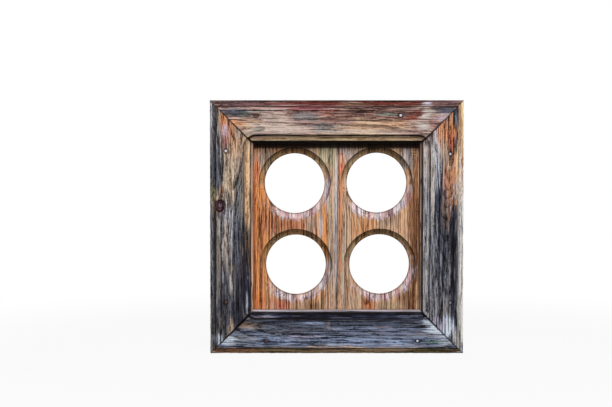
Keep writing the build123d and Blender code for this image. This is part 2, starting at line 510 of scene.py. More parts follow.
casingBoards = {
    "top": {
        "turn": 0,
        "grainLength": 1.8,
        "contrast": 0.86,
        "lines": {
            "quirk": (-4.0, 0.3, 1.0), "outer": (-2.6, 0.4, 1.0), "lip": (-9.0, 1.0, 0.4),
            "rim": (-3.4, 2.0, 0.9),
        },
        "gaps": ((0.5, 2.4), (0.4, 2.8)),
        "log": {"across": 228, "behind": 62, "lean": 0.012, "rise": 0.03, "wander": 16, "spacing": 3.4, "seed": 11},
        "splits": [
            (-60, 275, 190, 1.5, 2.2), (60, 281, 150, 1.3, 1.8), (-180, 256, 60, 1.0, 1.2),
            (120, 252, 70, 1.0, 1.4),
        ],
        "base": "driftwood",
        "veins": (("plum", 0.34, 0.8), ("whiteGrey", 0.34, 0.7), ("umber", 0.42, 0.8)),
        "patches": {
            "plumCove": (-215, 293, 110, 10, "plum", 0.95),
            "maroonCove": (-45, 293, 120, 10, "maroon", 1.0),
            "maroonCoveRight": (120, 293, 130, 10, "maroon", 1.0),
            "coveOlive": (42, 291, 34, 1.8, "oliveTan", 0.7),
            "covePlumLine": (-90, 290, 90, 1.4, "plum", 0.5),
            "plumCoveEnd": (262, 293, 44, 9, "plum", 0.8),
            "brownRight": (70, 266, 150, 20, "brownPlum", 0.9),
            "brownMiddle": (-70, 272, 90, 12, "brownPlum", 0.8),
            "slateLeft": (-238, 270, 36, 10, "slate", 0.9),
            "greenLeft": (-216, 267, 16, 5, "greenGrey", 0.7),
            "creamStreak": (-188, 273, 22, 2.6, "whiteGrey", 0.8),
            "pinkLeft": (-200, 243, 40, 15, "tanPink", 0.8),
            "rosyMiddle": (-140, 234, 60, 18, "rosyGrey", 0.9),
            "rosyBrown": (-20, 246, 70, 14, "brownPlum", 0.5),
            "rosyUpper": (-150, 262, 34, 12, "rosyGrey", 0.7),
            "greenSmudge": (-184, 231, 12, 6, "greenGrey", 0.6),
            "darkMottle": (-24, 236, 30, 12, "mottle", 0.85),
            "darkMottleHigh": (-75, 262, 34, 10, "mottle", 0.75),
            "redSpot": (-20, 268, 16, 8, "redOrange", 0.35),
            "purpleStreaks": (-60, 280, 70, 6, "purpleRed", 0.85),
            "tanInner": (95, 238, 86, 17, "tanPink", 0.95),
            "orangeInner": (134, 243, 30, 7, "orangePale", 0.4),
            "paleEdge": (60, 223, 150, 6, "whiteGrey", 0.4),
            "greenNail": (122, 266, 30, 4, "greenGrey", 0.85),
            "maroonSpot": (182, 266, 22, 12, "maroon", 0.8),
            "rustSpot": (172, 258, 20, 6, "redOrange", 0.35),
            "swirlTop": (214, 291, 13, 4, "lavenderWhite", 0.95),
            "swirlLine": (203, 284, 17, 2.6, "whiteGrey", 0.7),
            "swirlFoot": (216, 274, 15, 5, "whiteGrey", 0.9),
            "swirlBar": (206, 261, 16, 5, "whiteGrey", 0.95),
            "swirlLow": (196, 248, 24, 5, "rosyGrey", 0.6),
            "swirlPale": (203, 237, 15, 8, "whiteGrey", 0.95),
            "swirlPink": (228, 246, 12, 10, "purpleRed", 0.45),
            "darkSpot": (193, 265, 7, 4.5, "maroon", 0.95),
            "slateRight": (256, 277, 32, 7, "navy", 0.9),
            "plumEnd": (250, 256, 24, 9, "lavender", 0.5),
            "orangeMitre": (-243, 248, 24, 10, "orangePale", 0.8),
            # painted light on the cove under the top board, brightest along its lip
            "coveTan": (0, 211, 240, 9, "tanLit", 1.0),
            "coveLip": (0, 206.5, 235, 3.6, "honey", 1.0),
        },
    },
    "right": {
        "turn": 90,
        "grainLength": 1.6,
        "contrast": 1.1,
        "lines": {
            "quirk": (-0.6, 1.6, 0.75), "outer": (-2.4, -0.9, 0.25), "lip": (-9.0, 0.2, 0.6),
            "rim": (-0.2, 2.0, 0.1),
        },
        "gaps": ((0.4, 2.8), (0.7, 3.0)),
        "log": {"across": 262, "behind": 48, "lean": -0.02, "rise": 0.05, "wander": 12, "spacing": 3.0, "seed": 23},
        "splits": [
            (90, 241, 190, 1.5, 2.4), (190, 264, 60, 1.3, 2.2), (-30, 231, 120, 1.1, 1.6),
            (30, 275, 120, 1.2, 1.8),
        ],
        "base": "navy",
        "veins": (("char", 0.2, 0.9), ("paleGrey", 0.3, 0.8), ("umber", 0.38, 0.8), ("whiteGrey", 0.46, 0.9)),
        "patches": {
            "midGrey": (246, -20, 34, 150, "slate", 0.5),
            "lowDark": (256, -150, 30, 90, "char", 0.5),
            "orangeTop": (262, 224, 26, 56, "rustTan", 0.95),
            "orangeTopEdge": (272, 236, 8, 30, "orange", 0.6),
            "orangeTopInner": (242, 210, 20, 30, "rustTan", 0.85),
            "paleInner": (229, 186, 6, 34, "whiteGrey", 0.7),
            "rustMiddle": (266, 120, 18, 90, "rustTan", 0.85),
            "rustBrown": (270, 92, 10, 60, "brownGrey", 0.6),
            "greyFleck": (232, 150, 13, 70, "paleSlate", 0.85),
            "innerWhite": (226, 96, 6, 90, "whiteGrey", 0.7),
            "innerBlack": (238, 0, 7, 136, "blackNavy", 0.9),
            "middleDark": (258, -10, 22, 70, "char", 0.6),
            "stripTop": (294, 205, 12, 200, "honey", 1.0),
            "stripTopBrown": (289, 200, 3, 120, "tanPink", 0.35),
            "stripOrange": (292, 150, 6, 60, "orangePale", 0.6),
            "stripLow": (294, -110, 10, 250, "bleachedGrey", 1.0),
            "darkKnife": (280, 256, 6, 24, "slate", 0.98),
            "redStreak": (266, 196, 5, 26, "redOrange", 0.95),
            "greyMottle": (254, 172, 12, 36, "tanGrey", 0.8),
            "brownMiddle": (256, 36, 10, 48, "umber", 0.6),
            "blackStreak": (277, -50, 10, 120, "char", 0.9),
            "orangeFleck": (280, 60, 2.4, 6, "orange", 0.6),
            "greyLow": (232, -130, 15, 130, "paleSlate", 0.3),
            "greyLowOuter": (262, -150, 7, 90, "slateGrey", 0.45),
            "paleMitre": (258, -240, 18, 26, "bleachedBlue", 0.9),
            "paleMitreEdge": (284, -262, 8, 24, "bleachedGrey", 0.7),
            "lavenderMitre": (240, -226, 16, 16, "lavender", 0.6),
            "covePale": (211, 165, 9, 60, "rosyGrey", 0.95),
            "coveLip": (206, 0, 3.5, 216, "whiteGrey", 0.9),
            "coveGrey": (211, -30, 9, 200, "paleSlate", 0.8),
            "coveStreaks": (214, -60, 3, 150, "bleachedGrey", 0.7),
            "coveLine": (208, -60, 1.5, 150, "char", 0.7),
            "coveLineHigh": (214, 120, 1.6, 60, "umber", 0.7),
        },
    },
    "bottom": {
        "turn": 180,
        "grainLength": 1.8,
        "contrast": 1.0,
        "lines": {
            "quirk": (-4.6, 0.2, 0.9), "outer": (0.0, 3.8, 0.95), "lip": (-9.0, 5.0, 1.0),
            "rim": (-1.8, 2.0, 0.95),
        },
        "gaps": ((0.7, 3.0), (0.8, 4.6)),
        "log": {"across": 240, "behind": 70, "lean": 0.01, "rise": 0.02, "wander": 10, "spacing": 3.2, "seed": 37},
        "splits": [
            (10, 222, 200, 1.2, 1.6), (-80, 232, 140, 1.0, 1.4), (60, 246, 160, 1.1, 1.4),
            (-60, 262, 150, 1.0, 1.2),
        ],
        "base": "blueGrey",
        "veins": (("char", 0.28, 0.9), ("paleGrey", 0.36, 0.7), ("blackNavy", 0.4, 0.9), ("umber", 0.46, 0.6)),
        "patches": {
            "faceHigh": (0, -225, 290, 10, "navy", 0.9),
            "faceLow": (0, -266, 290, 13, "steelBlue", 0.85),
            "oliveEnd": (-218, -231, 36, 8, "umber", 0.85),
            "tanEnd": (-196, -236, 30, 5, "tanGrey", 0.6),
            "greyEnd": (-225, -262, 40, 12, "mottle", 0.6),
            "darkMiddle": (-110, -240, 90, 14, "slate", 0.6),
            "paleStreak": (-50, -226, 34, 2.2, "steelBlue", 0.8),
            "paleStreakTwo": (60, -240, 60, 3, "steelBlue", 0.8),
            "tanFleck": (-20, -228, 5, 8, "tanGrey", 0.5),
            "greenStreak": (238, -271, 36, 2.4, "greenStreak", 0.7),
            "lavenderStreak": (-75, -259, 46, 5, "lavender", 0.6),
            "slateMiddle": (90, -252, 70, 12, "slate", 0.6),
            "paleMitre": (232, -236, 24, 16, "bleachedBlue", 0.9),
            "paleMitreHigh": (216, -222, 14, 8, "bleachedBlue", 0.7),
            "paleMitreLow": (258, -264, 22, 10, "bleachedBlue", 0.7),
            "paleCorner": (-258, -268, 20, 12, "bleachedBlue", 0.7),
            "coveBlack": (0, -210, 250, 10, "blackNavy", 1.0),
            "coveGlint": (-172, -213, 34, 2.0, "lavenderWhite", 0.6),
            # painted light on the outer cove, which faces down
            "outerCove": (0, -293, 340, 10, "tanLit", 1.0),
            "outerOrange": (-245, -293, 70, 8, "orangePale", 0.75),
            "outerOliveLeft": (-120, -293, 60, 8, "oliveTan", 0.5),
            "outerOlive": (223, -293, 48, 8, "oliveTan", 0.85),
        },
    },
    "left": {
        "turn": 270,
        "grainLength": 1.6,
        "contrast": 1.0,
        "lines": {
            "quirk": (-0.6, 2.2, 0.9), "outer": (-1.6, 0.9, 0.85), "lip": (-9.0, 1.6, 0.85),
            "rim": (-1.8, 2.0, 0.95),
        },
        "gaps": ((0.8, 4.6), (0.5, 2.4)),
        "log": {"across": 250, "behind": 55, "lean": -0.015, "rise": -0.03, "wander": 14, "spacing": 3.1, "seed": 53},
        "knots": [(52.8, 275.5, 13.5)],
        "splits": [
            (-120, 272, 150, 1.3, 2.2), (-40, 243, 160, 1.2, 1.8), (-180, 232, 70, 1.2, 1.6),
            (150, 268, 80, 1.0, 1.3),
        ],
        "base": "greyBrown",
        "veins": (("char", 0.28, 0.9), ("paleGrey", 0.34, 0.7), ("navy", 0.36, 0.7), ("tanGrey", 0.38, 0.7)),
        "patches": {
            "stripHigh": (-294, 175, 8, 130, "slateGrey", 0.95),
            "stripCorner": (-295, 268, 6, 34, "paleSlate", 0.8),
            "stripBlue": (-291, 130, 5, 50, "navy", 0.7),
            "stripNavy": (-288, 110, 5, 90, "navy", 0.9),
            "stripMoss": (-293, 80, 7, 24, "mossYellow", 0.8),
            "stripLow": (-294, -130, 8, 190, "slateGrey", 0.85),
            "stripLowDark": (-288, -100, 4, 190, "char", 0.85),
            "bluishFace": (-278, 130, 8, 70, "slate", 0.75),
            "tanFace": (-240, 190, 24, 62, "tanPink", 0.95),
            "tanFaceLow": (-236, 130, 16, 40, "tanGrey", 0.8),
            "brownHigh": (-250, 214, 20, 34, "rustTan", 0.5),
            "maroonLine": (-246, 236, 8, 20, "umber", 0.5),
            "orangeWedge": (-268, 252, 9, 30, "orange", 0.7),
            "rustWedge": (-256, 236, 14, 30, "rustTan", 0.7),
            "lavenderWedge": (-262, 226, 7, 15, "lavender", 0.6),
            "maroonFleck": (-262, 200, 6, 16, "purpleRed", 0.6),
            "tanSwirl": (-253, 122, 15, 50, "tanPale", 0.95),
            "tanFlow": (-244, 60, 9, 50, "tanPale", 0.7),
            "mottleInner": (-231, 50, 10, 100, "mottle", 0.9),
            "coveTanTop": (-211, 110, 10, 120, "honey", 0.8),
            "coveDark": (-211, -68, 10, 50, "umber", 1.0),
            "coveLow": (-211, -230, 9, 50, "navy", 0.9),
            "coveNavy": (-211, -165, 10, 80, "blackNavy", 1.0),
            "coveBleached": (-213, -180, 3.0, 30, "bleachedBlue", 0.95),
            "knotHalo": (-275, 60, 18, 26, "tanPale", 0.9),
            "knotBrown": (-288, 48, 5, 15, "umber", 0.8),
            "knotRust": (-270, 84, 4, 12, "rustTan", 0.7),
            "whiteSwirl": (-261, 27, 14, 17, "lavenderWhite", 0.95),
            "middlePale": (-256, -2, 17, 60, "paleSlate", 0.85),
            "tanStreak": (-262, -30, 6, 50, "tanGrey", 0.7),
            "lowDark": (-258, -190, 30, 110, "navy", 0.8),
            "lowDarkInner": (-236, -215, 14, 50, "blackNavy", 0.6),
            "paleFleck": (-250, -134, 5, 24, "paleGrey", 0.8),
            "navyLow": (-226, -130, 18, 140, "char", 0.9),
            "navyMiddle": (-238, -30, 10, 70, "slate", 0.6),
            "brownLow": (-250, -240, 7, 24, "tanGrey", 0.8),
            "bleachedCorner": (-280, -268, 10, 16, "bleachedBlue", 0.75),
        },
    },
}

# a knot's rings from outside in: how far in they begin, and their dark and light colours
knotRings = (
    (1.0, (84, 58, 40), (176, 142, 112)),
    (0.88, (10, 4, 8), (40, 20, 26)),
    (0.62, (60, 34, 46), (140, 100, 118)),
    (0.46, (34, 18, 26), (96, 66, 80)),
    (0.3, (104, 84, 92), (210, 186, 196)),
)

figure = {
    "knotFade": 0.1,
    "veinLength": 58,
    "veinWidth": 3.6,
    "veinShift": 31,
    "veinStep": 131,
    "splitFull": 1.2,       # a split this deep is as dark as the deepest
}


def finishBoard(piece, settings, place, picture, marks, dirt):
    seed = settings["log"]["seed"]
    u, v, w = place
    v = aroundKnots(u, v, settings.get("knots", ()))
    w = w * settings.get("depthShare", 1.0)
    along = u / settings["grainLength"]

    def veinAt(k):
        shift = figure["veinShift"] * k + seed
        long, wide = figure["veinLength"], figure["veinWidth"]
        return layered(along / long + shift, v / wide, w / wide, seed + figure["veinStep"] + k, 2)

    lengths = {"streak": along, "fine": along, "blotch": u}
    spread = {use: boardNoise(use, seed, length, v, w) for use, length in lengths.items()}
    low, high = paint(settings, *picture, spread, veinAt)
    middle = (low + high) / 2
    low, high = [middle + (tone - middle) * settings["contrast"] for tone in (low, high)]
    for share, dark, pale in knotRings:
        within = ramp(share, share - figure["knotFade"], 1 - marks["knot"])[:, None]
        low += within * (linear(dark) - low)
        high += within * (linear(pale) - high)
    setValues(piece, "lowTone", "FLOAT_COLOR", low)
    setValues(piece, "highTone", "FLOAT_COLOR", high)
    setValues(piece, "grainPlace", "FLOAT_VECTOR", np.stack([along, v, w], axis=1) / perMetre)
    setValues(piece, "ring", "FLOAT", marks["ring"])
    setValues(piece, "dirt", "FLOAT", np.clip(dirt, 0, 1))
    setValues(piece, "split", "FLOAT", np.clip(marks["split"] / figure["splitFull"], 0, 1))


def closeness(distance, width):
    return np.exp(-np.abs(distance) / width)


def aroundNails(side, u, v):
    # the dent round every nail of a board, and the rust that the rain has drawn from it
    dent, stain = np.zeros_like(u), np.zeros_like(u)
    dentWidth, dentDepth = casing["nailDent"]
    ringLength, ringRadius, ringWidth = casing["nailRing"]
    runLength, runWidth, runAmount = casing["nailRun"]
    for spot, inset in nailSpots[side]:
        along, across = u - spot, v - (window["casingHalf"] - inset)
        dent = np.maximum(dent, np.exp(-(np.hypot(along, across) / dentWidth) ** 2))
        ring = np.hypot(along / ringLength, across) - ringRadius
        stain = np.maximum(stain, np.exp(-(ring / ringWidth) ** 2))
        run = np.hypot(along / runLength, across) / runWidth
        stain = np.maximum(stain, runAmount * np.exp(-run ** 2))
    return dentDepth * dent, casing["nailRust"] * stain


def closedFaces(index):
    # the grid's own quads, a back from its last row to its first, and a face at either end
    def quads(a, b, c, d):
        return np.stack([a, b, c, d], axis=-1).reshape(-1, 4).tolist()

    front = quads(index[:-1, :-1], index[1:, :-1], index[1:, 1:], index[:-1, 1:])
    back = quads(index[-1, :-1], index[0, :-1], index[0, 1:], index[-1, 1:])
    return front + back + [index[:, 0].tolist(), index[::-1, -1].tolist()]


def makeCasingBoard(side):
    settings = casingBoards[side]
    seed = settings["log"]["seed"]
    grid, toEnd = casingGrid(settings["gaps"])
    normals = gridNormals(grid).reshape(-1, 3)
    points, toEnd = grid.reshape(-1, 3), toEnd.ravel()
    u, w, v = points[:, 0], points[:, 1] + window["casingThick"], points[:, 2]
    marks, wear = weathered(settings, casing, u, v, w, casing["scatteredAcross"])
    outerStep = window["casingHalf"] - window["coveRadius"]
    widths = casing["arrisWidths"]
    arris = closeness(v - (window["lipHalf"] + window["coveRadius"]), widths["quirk"])
    arris = arris + closeness(v - outerStep, widths["quirk"])
    rims = closeness(window["casingHalf"] - v, widths["rim"]) + closeness(v - window["lipHalf"], widths["lip"])
    arris = arris + rims
    arris = np.clip(arris + np.exp(-toEnd / widths["mitre"]), 0, 1)
    chipped = ramp(*casing["chips"], boardNoise("chips", seed, u, v, w))
    wear = wear + casing["arrisWear"] * arris * chipped + casing["arrisRound"] * arris
    dent, stain = aroundNails(side, u, v)
    wear = wear + dent + marks["split"]
    wear = np.clip(wear, 0, casing["mostLost"]) * np.clip(-points[:, 1] / casing["wallFade"], 0, 1)
    moved = points - normals * wear[:, None]
    moved[:, 1] = np.minimum(moved[:, 1], 0)
    guide = window["lipHalf"] - window["guideRadius"]
    bend = window["guideRadius"] + window["coveRadius"]
    distances = {
        "quirk": np.hypot(np.clip(np.abs(u) - guide, 0, None), v - guide) - bend,
        "outer": v - outerStep,
        "lip": v - window["lipHalf"],
        "rim": v - window["casingHalf"],
    }
    always, more = casing["lineDirtAndShade"]
    uneven = always + more * boardNoise("stain", seed, u, v)
    mitreWidth, mitreAmount = casing["mitreDirt"]
    dirt = mitreAmount * np.exp(-toEnd / mitreWidth)
    fade = casing["lineFade"]
    # dark lines at the quirks, the lip and the outer rim: partly dirt, partly painted shade in the steps and beside
    # the lip, set for each board
    for line, (start, stop, amount) in settings["lines"].items():
        away = distances[line]
        dirt = dirt + amount * uneven * ramp(start - fade, start + fade, away) * ramp(stop + fade, stop - fade, away)
    index = np.arange(len(points)).reshape(grid.shape[:2])
    piece = makeMesh("casing_board_" + side, toFrame(turned(moved, settings["turn"])), closedFaces(index))
    outward(piece)
    plain = turned(points, settings["turn"])
    finishBoard(piece, settings, (u, v, w), (plain[:, 0], plain[:, 2]), marks, dirt + stain)
    smoothShade(piece)
    return piece


def outward(piece):
    # one signed volume tells whether the whole closed shell is inside out
    mesh = piece.data
    mesh.calc_loop_triangles()
    count = len(mesh.loop_triangles)
    corners = np.zeros(count * 3, np.int32)
    mesh.loop_triangles.foreach_get("vertices", corners)
    places = np.zeros(len(mesh.vertices) * 3, np.float32)
    mesh.vertices.foreach_get("co", places)
    places = places.reshape(-1, 3).astype(float)
    places -= places.mean(axis=0)
    a, b, c = places[corners.reshape(-1, 3)].transpose(1, 0, 2)
    if np.einsum("ij,ij->i", a, np.cross(b, c)).sum() < 0:
        mesh.flip_normals()
    mesh.update()


# panel: two boards with two round openings each, every rim coved; lengths in millimetres
panel = {
    "pointsAcross": 190,
    "pointsUp": 190,
    "coveRows": 12,
    "faceRows": 32,
    "wallRows": 6,
    "backRows": 12,
    "openingRadius": 71.5,
    "sideRoom": 1.5,
    "topRoom": 3.0,
    "jointTop": 4.0,
    "jointGap": 1.0,
    "parting": 6.0,         # height of the line between the upper and the lower opening
    "grainLength": 4.0,
    "depthShare": 0.12,     # so that the streaks run straight on over the coved rims
    "lostSoftWood": 0.5,
    "unevenness": 0.4,
    "scattered": {"count": 22, "spanU": 190, "width": 1.1, "deep": 1.6},
    "pitEdge": 0.35,        # how uneven a pit's edge is
    "pitFade": (1.0, 0.6),
    "jointWear": (1.3, 0.9),    # width and depth
    "rimWear": (0.8, 0.5),
    "rimChips": (-0.2, 0.6),
    "mostLost": 3.4,
    "openingReach": 90,     # a place this near to a centre belongs to that opening
}

# the panel's dark lines and painted shade: the distances where each starts and is full, and its amount
panelLines = {
    "quirk": (3.0, 1.0, 0.75),
    "quirkHigh": (-0.5, 0.3, 1.1),      # painted shade under the quirk, more on the upper part of a rim
    "quirkLow": 0.15,
    "quirkLeft": (-0.5, -0.92, 0.8),    # less at its left
    "quirkUneven": (0.7, 0.5),
    "edge": (2.2, 0.8, 0.9),
    # painted shadow of the top casing over the panel's top
    "shade": (154, 198, 1.0),
    "shadeHigh": (183, 192, 1.2),
    "shadeShare": 0.62,
    "joint": (0.8, 0.45),
    # painted shade along the sides and the foot of the recess
    "side": (5, 0.5, 0.6),
    "foot": (4, 0, 0.3),
}

panelBoards = {
    "left": {
        "hand": -1,
        "contrast": 0.95,
        "scatteredAcross": (-200, -6),
        "openings": ((-96.7, -91.4), (-99.7, 102.9)),
        "profile": ((-0.5, 24.0), (7.5, 24.0), (7.5, 32.0), (-0.5, 32.0)),
        "log": {"across": -150, "behind": 44, "lean": 0.05, "rise": 0.04, "wander": 14, "spacing": 3.6, "seed": 71},
        "splits": [
            (150, -170, 60, 1.0, 2.2), (130, -163, 50, 1.2, 2.4), (160, -158, 46, 1.0, 2.0),
            (150, -10, 55, 1.0, 1.6), (-30, -178, 150, 1.0, 1.6), (-150, -60, 60, 1.1, 1.8),
            (20, -60, 40, 1.0, 1.6), (-176, -120, 26, 1.2, 1.8),
        ],
        "base": "orangePale",
        "veins": (("whiteGrey", 0.3, 0.8), ("redOrange", 0.36, 0.7), ("umber", 0.34, 0.85), ("cream", 0.4, 0.8)),
        "patches": {
            "leftStrip": (-180, 0, 24, 190, "orange", 0.75),
            "topGrey": (-178, 160, 34, 32, "tanGrey", 0.9),
            "topShade": (-100, 196, 110, 14, "brownGrey", 0.85),
            "redStreak": (-188, 132, 4, 26, "redOrange", 0.95),
            "betweenOrange": (-118, 6, 64, 30, "redBrown", 0.85),
            "betweenPale": (-62, 10, 14, 26, "tanGrey", 0.8),
            "betweenWhite": (-38, 4, 5, 28, "paleGrey", 0.9),
            "tanBar": (-9, 10, 8, 210, "tanPink", 0.85),
            "greenBar": (-18, 20, 5, 150, "greenTan", 0.5),
            "jointPale": (-1, 10, 4, 190, "paleGrey", 0.95),
            "jointTopTan": (-26, 168, 24, 40, "greenTan", 0.9),
            "orangeBars": (-27, -30, 5, 150, "orange", 0.85),
            "rimSideGrey": (-22, 78, 6, 44, "paleGrey", 0.45),
            "stripDeep": (-194, -20, 4, 220, "deepOrange", 0.85),
            "stripBrown": (-176, -40, 3, 160, "redBrown", 0.6),
            "lowOrange": (-180, -180, 24, 22, "deepOrange", 0.6),
            "lowRosy": (-110, -186, 60, 18, "redBrown", 0.6),
            "lowCream": (-96, -190, 60, 14, "tanPink", 0.75),
            "lowRed": (-128, -186, 20, 14, "redOrange", 0.8),
            "lowBrown": (-52, -190, 18, 12, "brownGrey", 0.8),
            "nearRimPink": (-146, -120, 14, 40, "tanPink", 0.7),
        },
    },
    "right": {
        "hand": 1,
        "contrast": 0.95,
        "scatteredAcross": (12, 200),
        "openings": ((102.7, -90.7), (95.9, 104.2)),
        "profile": ((0.5, 23.7), (8.5, 23.7), (8.5, 32.3), (0.5, 32.3)),
        "log": {"across": 60, "behind": 50, "lean": -0.04, "rise": -0.03, "wander": 16, "spacing": 3.8, "seed": 97},
        "splits": [
            (-178, 80, 24, 1.4, 2.4), (120, 184, 80, 1.2, 2.0), (150, 176, 50, 1.1, 1.8),
            (-40, 190, 120, 1.1, 1.8), (0, 24, 90, 1.0, 1.6), (20, 60, 40, 1.0, 1.5), (-20, 130, 34, 1.0, 1.5),
        ],
        "pits": [(11, 168, 5.5, 7, 2.6), (8, 150, 9, 15, 1.8), (27, 76, 4.0, 9, 2.8), (150, 178, 7, 5, 2.4)],
        "base": "tanOrange",
        "veins": (("whiteGrey", 0.3, 0.8), ("orange", 0.34, 0.7), ("umber", 0.38, 0.85), ("cream", 0.4, 0.7)),
        "patches": {
            "middleTan": (92, 2, 72, 38, "tanOrange", 0.9),
            "middleOrange": (64, -2, 30, 30, "orange", 0.55),
            "middleGrey": (120, 14, 22, 24, "tanGrey", 0.6),
            "jointGrey": (2, 0, 2.5, 220, "paleGrey", 0.9),
            "redBar": (9, -20, 5, 220, "redBrown", 0.85),
            "salmonBar": (17, 66, 5, 60, "orangePale", 0.8),
            "tanBar": (26, -20, 9, 200, "tanPink", 0.9),
            "topGrey": (20, 176, 30, 24, "paleGrey", 0.7),
            "topShade": (110, 196, 100, 14, "brownGrey", 0.85),
            "rightBrown": (186, 20, 16, 200, "brownOrange", 0.95),
            "rightGreyTop": (166, 164, 16, 26, "paleGrey", 0.75),
            "lowOrange": (76, -184, 24, 16, "deepOrange", 0.75),
            "lowCream": (36, -182, 24, 22, "tanPink", 0.85),
            "lowBrown": (172, -176, 28, 30, "brownOrange", 0.8),
            "lowTan": (122, -190, 26, 12, "sand", 0.8),
            "torn": (10, 154, 12, 22, "pinkTorn", 0.9),
            "tornRed": (12, 138, 8, 12, "redOrange", 0.6),
        },
    },
}


# where a point of a panel board lies, as a distance into a cove: below coveEdge it isn't in the cove
outside = {"face": 99.0, "wall": -1.0, "back": -2.0, "joint": -3.0, "coveEdge": -0.5, "coveEnd": 90}


def jointAt(z):
    share = (z + window["rebateHalf"]) / (2 * window["rebateHalf"])
    return share * panel["jointTop"]


def boardEdges(hand, z):
    side = np.full_like(z, hand * (window["rebateHalf"] - panel["sideRoom"]))
    joint = jointAt(z) + hand * panel["jointGap"] / 2
    return (side, joint) if hand < 0 else (joint, side)


def patchOutline(hand, foot, head):
    across, up = panel["pointsAcross"], panel["pointsUp"]
    t, s = np.linspace(0, 1, across + 1)[:-1], np.linspace(0, 1, up + 1)[:-1]

    def along(z, share):
        nearEdge, farEdge = boardEdges(hand, np.array([z]))
        return nearEdge[0] + (farEdge[0] - nearEdge[0]) * share

    rising, falling = foot + (head - foot) * s, head - (head - foot) * s
    x = [along(foot, t), boardEdges(hand, rising)[1], along(head, 1 - t), boardEdges(hand, falling)[0]]
    z = [np.full(across, foot), rising, np.full(across, head), falling]
    return np.concatenate(x), np.concatenate(z)


def openingPatch(hand, centre, foot, head):
    # rings of points from the board's outline over the face, down the cove and the wall, and out over the back
    radius, reach = panel["openingRadius"], window["coveRadius"]
    front, back = window["panelFront"], window["panelBack"]
    quirk = window["quirkDepth"]
    outX, outZ = patchOutline(hand, foot, head)
    away = np.hypot(outX - centre[0], outZ - centre[1])
    dirX, dirZ = (outX - centre[0]) / away, (outZ - centre[1]) / away
    rings = []      # distance from the centre, depth, the normal's inward and forward parts, distance into the cove
    for t in np.linspace(1, 0, panel["faceRows"] + 1):
        rings.append((radius + reach + (away - (radius + reach)) * t, front, 0.0, 1.0, outside["face"]))
    for angle in np.linspace(math.pi / 2, 0, panel["coveRows"]):
        inward, forward = math.cos(angle), math.sin(angle)
        into = reach * forward
        rings.append((np.full_like(away, radius + into), front + (quirk + reach * inward), inward, forward, into))
    for y in np.linspace(front + quirk + reach + 0.001, back, panel["wallRows"]):
        rings.append((np.full_like(away, radius), y, 1.0, 0.0, outside["wall"]))
    for t in np.linspace(0, 1, panel["backRows"])[1:]:
        rings.append((radius + (away - radius) * t, back, 0.0, -1.0, outside["back"]))
    points, normals, into = [], [], []
    for distance, y, inward, forward, depthIn in rings:
        depth = np.full_like(away, y)
        points.append(np.stack([centre[0] + dirX * distance, depth, centre[1] + dirZ * distance], axis=1))
        normals.append(np.stack([-dirX * inward, np.full_like(away, -forward), -dirZ * inward], axis=1))
        into.append(np.full_like(away, depthIn))
    index = np.arange(len(rings) * len(away)).reshape(len(rings), len(away))
    following = np.roll(index, -1, axis=1)
    quads = np.stack([index[:-1], following[:-1], following[1:], index[1:]], axis=-1).reshape(-1, 4).tolist()
    return np.concatenate(points), np.concatenate(normals), np.concatenate(into), quads, index


def panelShell(settings):
    # two patches, one for each opening, with the board's sides, its moulded joint and its two ends between them
    hand = settings["hand"]
    foot, head = -window["rebateHalf"], window["rebateHalf"] - panel["topRoom"]
    across, up = panel["pointsAcross"], panel["pointsUp"]
    parts, faces, start = [], [], 0
    for (low, high), centre in zip(((foot, panel["parting"]), (panel["parting"], head)), settings["openings"]):
        points, normals, into, quads, index = openingPatch(hand, centre, low, high)
        faces += [[c + start for c in q] for q in quads]
        index = index + start
        start += len(points)
        parts.append((points, normals, into))
        right = np.arange(across, across + up + 1)
        left = np.append(np.arange(2 * across + up, 2 * across + 2 * up), 0)
        jointColumns, sideColumns = (right, left) if hand < 0 else (left, right)
        for a, b in zip(sideColumns[:-1], sideColumns[1:]):
            faces.append([int(c) for c in (index[0, a], index[0, b], index[-1, b], index[-1, a])])
        z = points[jointColumns, 2]
        levels = [index[0, jointColumns]]
        for offset, y in settings["profile"]:
            strip = np.stack([jointAt(z) + offset, np.full_like(z, y), z], axis=1)
            levels.append(np.arange(len(strip)) + start)
            start += len(strip)
            parts.append((strip, np.zeros_like(strip), np.full(len(strip), outside["joint"])))
        levels.append(index[-1, jointColumns])
        for upper, lower in zip(levels[:-1], levels[1:]):
            for k in range(len(upper) - 1):
                faces.append([int(c) for c in (upper[k], upper[k + 1], lower[k + 1], lower[k])])
        atFoot = low == foot
        endColumns = np.arange(0, across + 1) if atFoot else np.arange(across + up, 2 * across + up + 1)
        jointEnd = 0 if (hand < 0) == atFoot else -1
        frontLine, backLine = [[int(index[row, c]) for c in endColumns] for row in (0, -1)]
        if jointEnd:
            frontLine, backLine = frontLine[::-1], backLine[::-1]
        faces.append(frontLine + [int(level[jointEnd]) for level in levels[1:-1]] + backLine[::-1])
    points, normals, into = [np.concatenate(values) for values in zip(*parts)]
    points, faces, first = weld(points, faces)
    return points, normals[first], into[first], faces


def panelWear(settings, points, into, wear, split, fromJoint):
    seed = settings["log"]["seed"]
    x, z = points[:, 0], points[:, 2]
    pits = np.zeros_like(z)
    for px, pz, halfX, halfZ, deep in settings.get("pits", ()):
        away = np.hypot((x - px) / halfX, (z - pz) / halfZ) + panel["pitEdge"] * boardNoise("pits", seed, z, x)
        pits = np.maximum(pits, deep * ramp(*panel["pitFade"], away))
    width, deep = panel["jointWear"]
    wear = wear + deep * np.exp(-fromJoint / width)
    width, deep = panel["rimWear"]
    rimWear = closeness(into - window["coveRadius"], width) * (into < outside["coveEnd"])
    wear = wear + deep * rimWear * ramp(*panel["rimChips"], boardNoise("chips", seed, x, z)) + split + pits
    return np.clip(wear, 0, panel["mostLost"]) * (into > outside["coveEdge"])


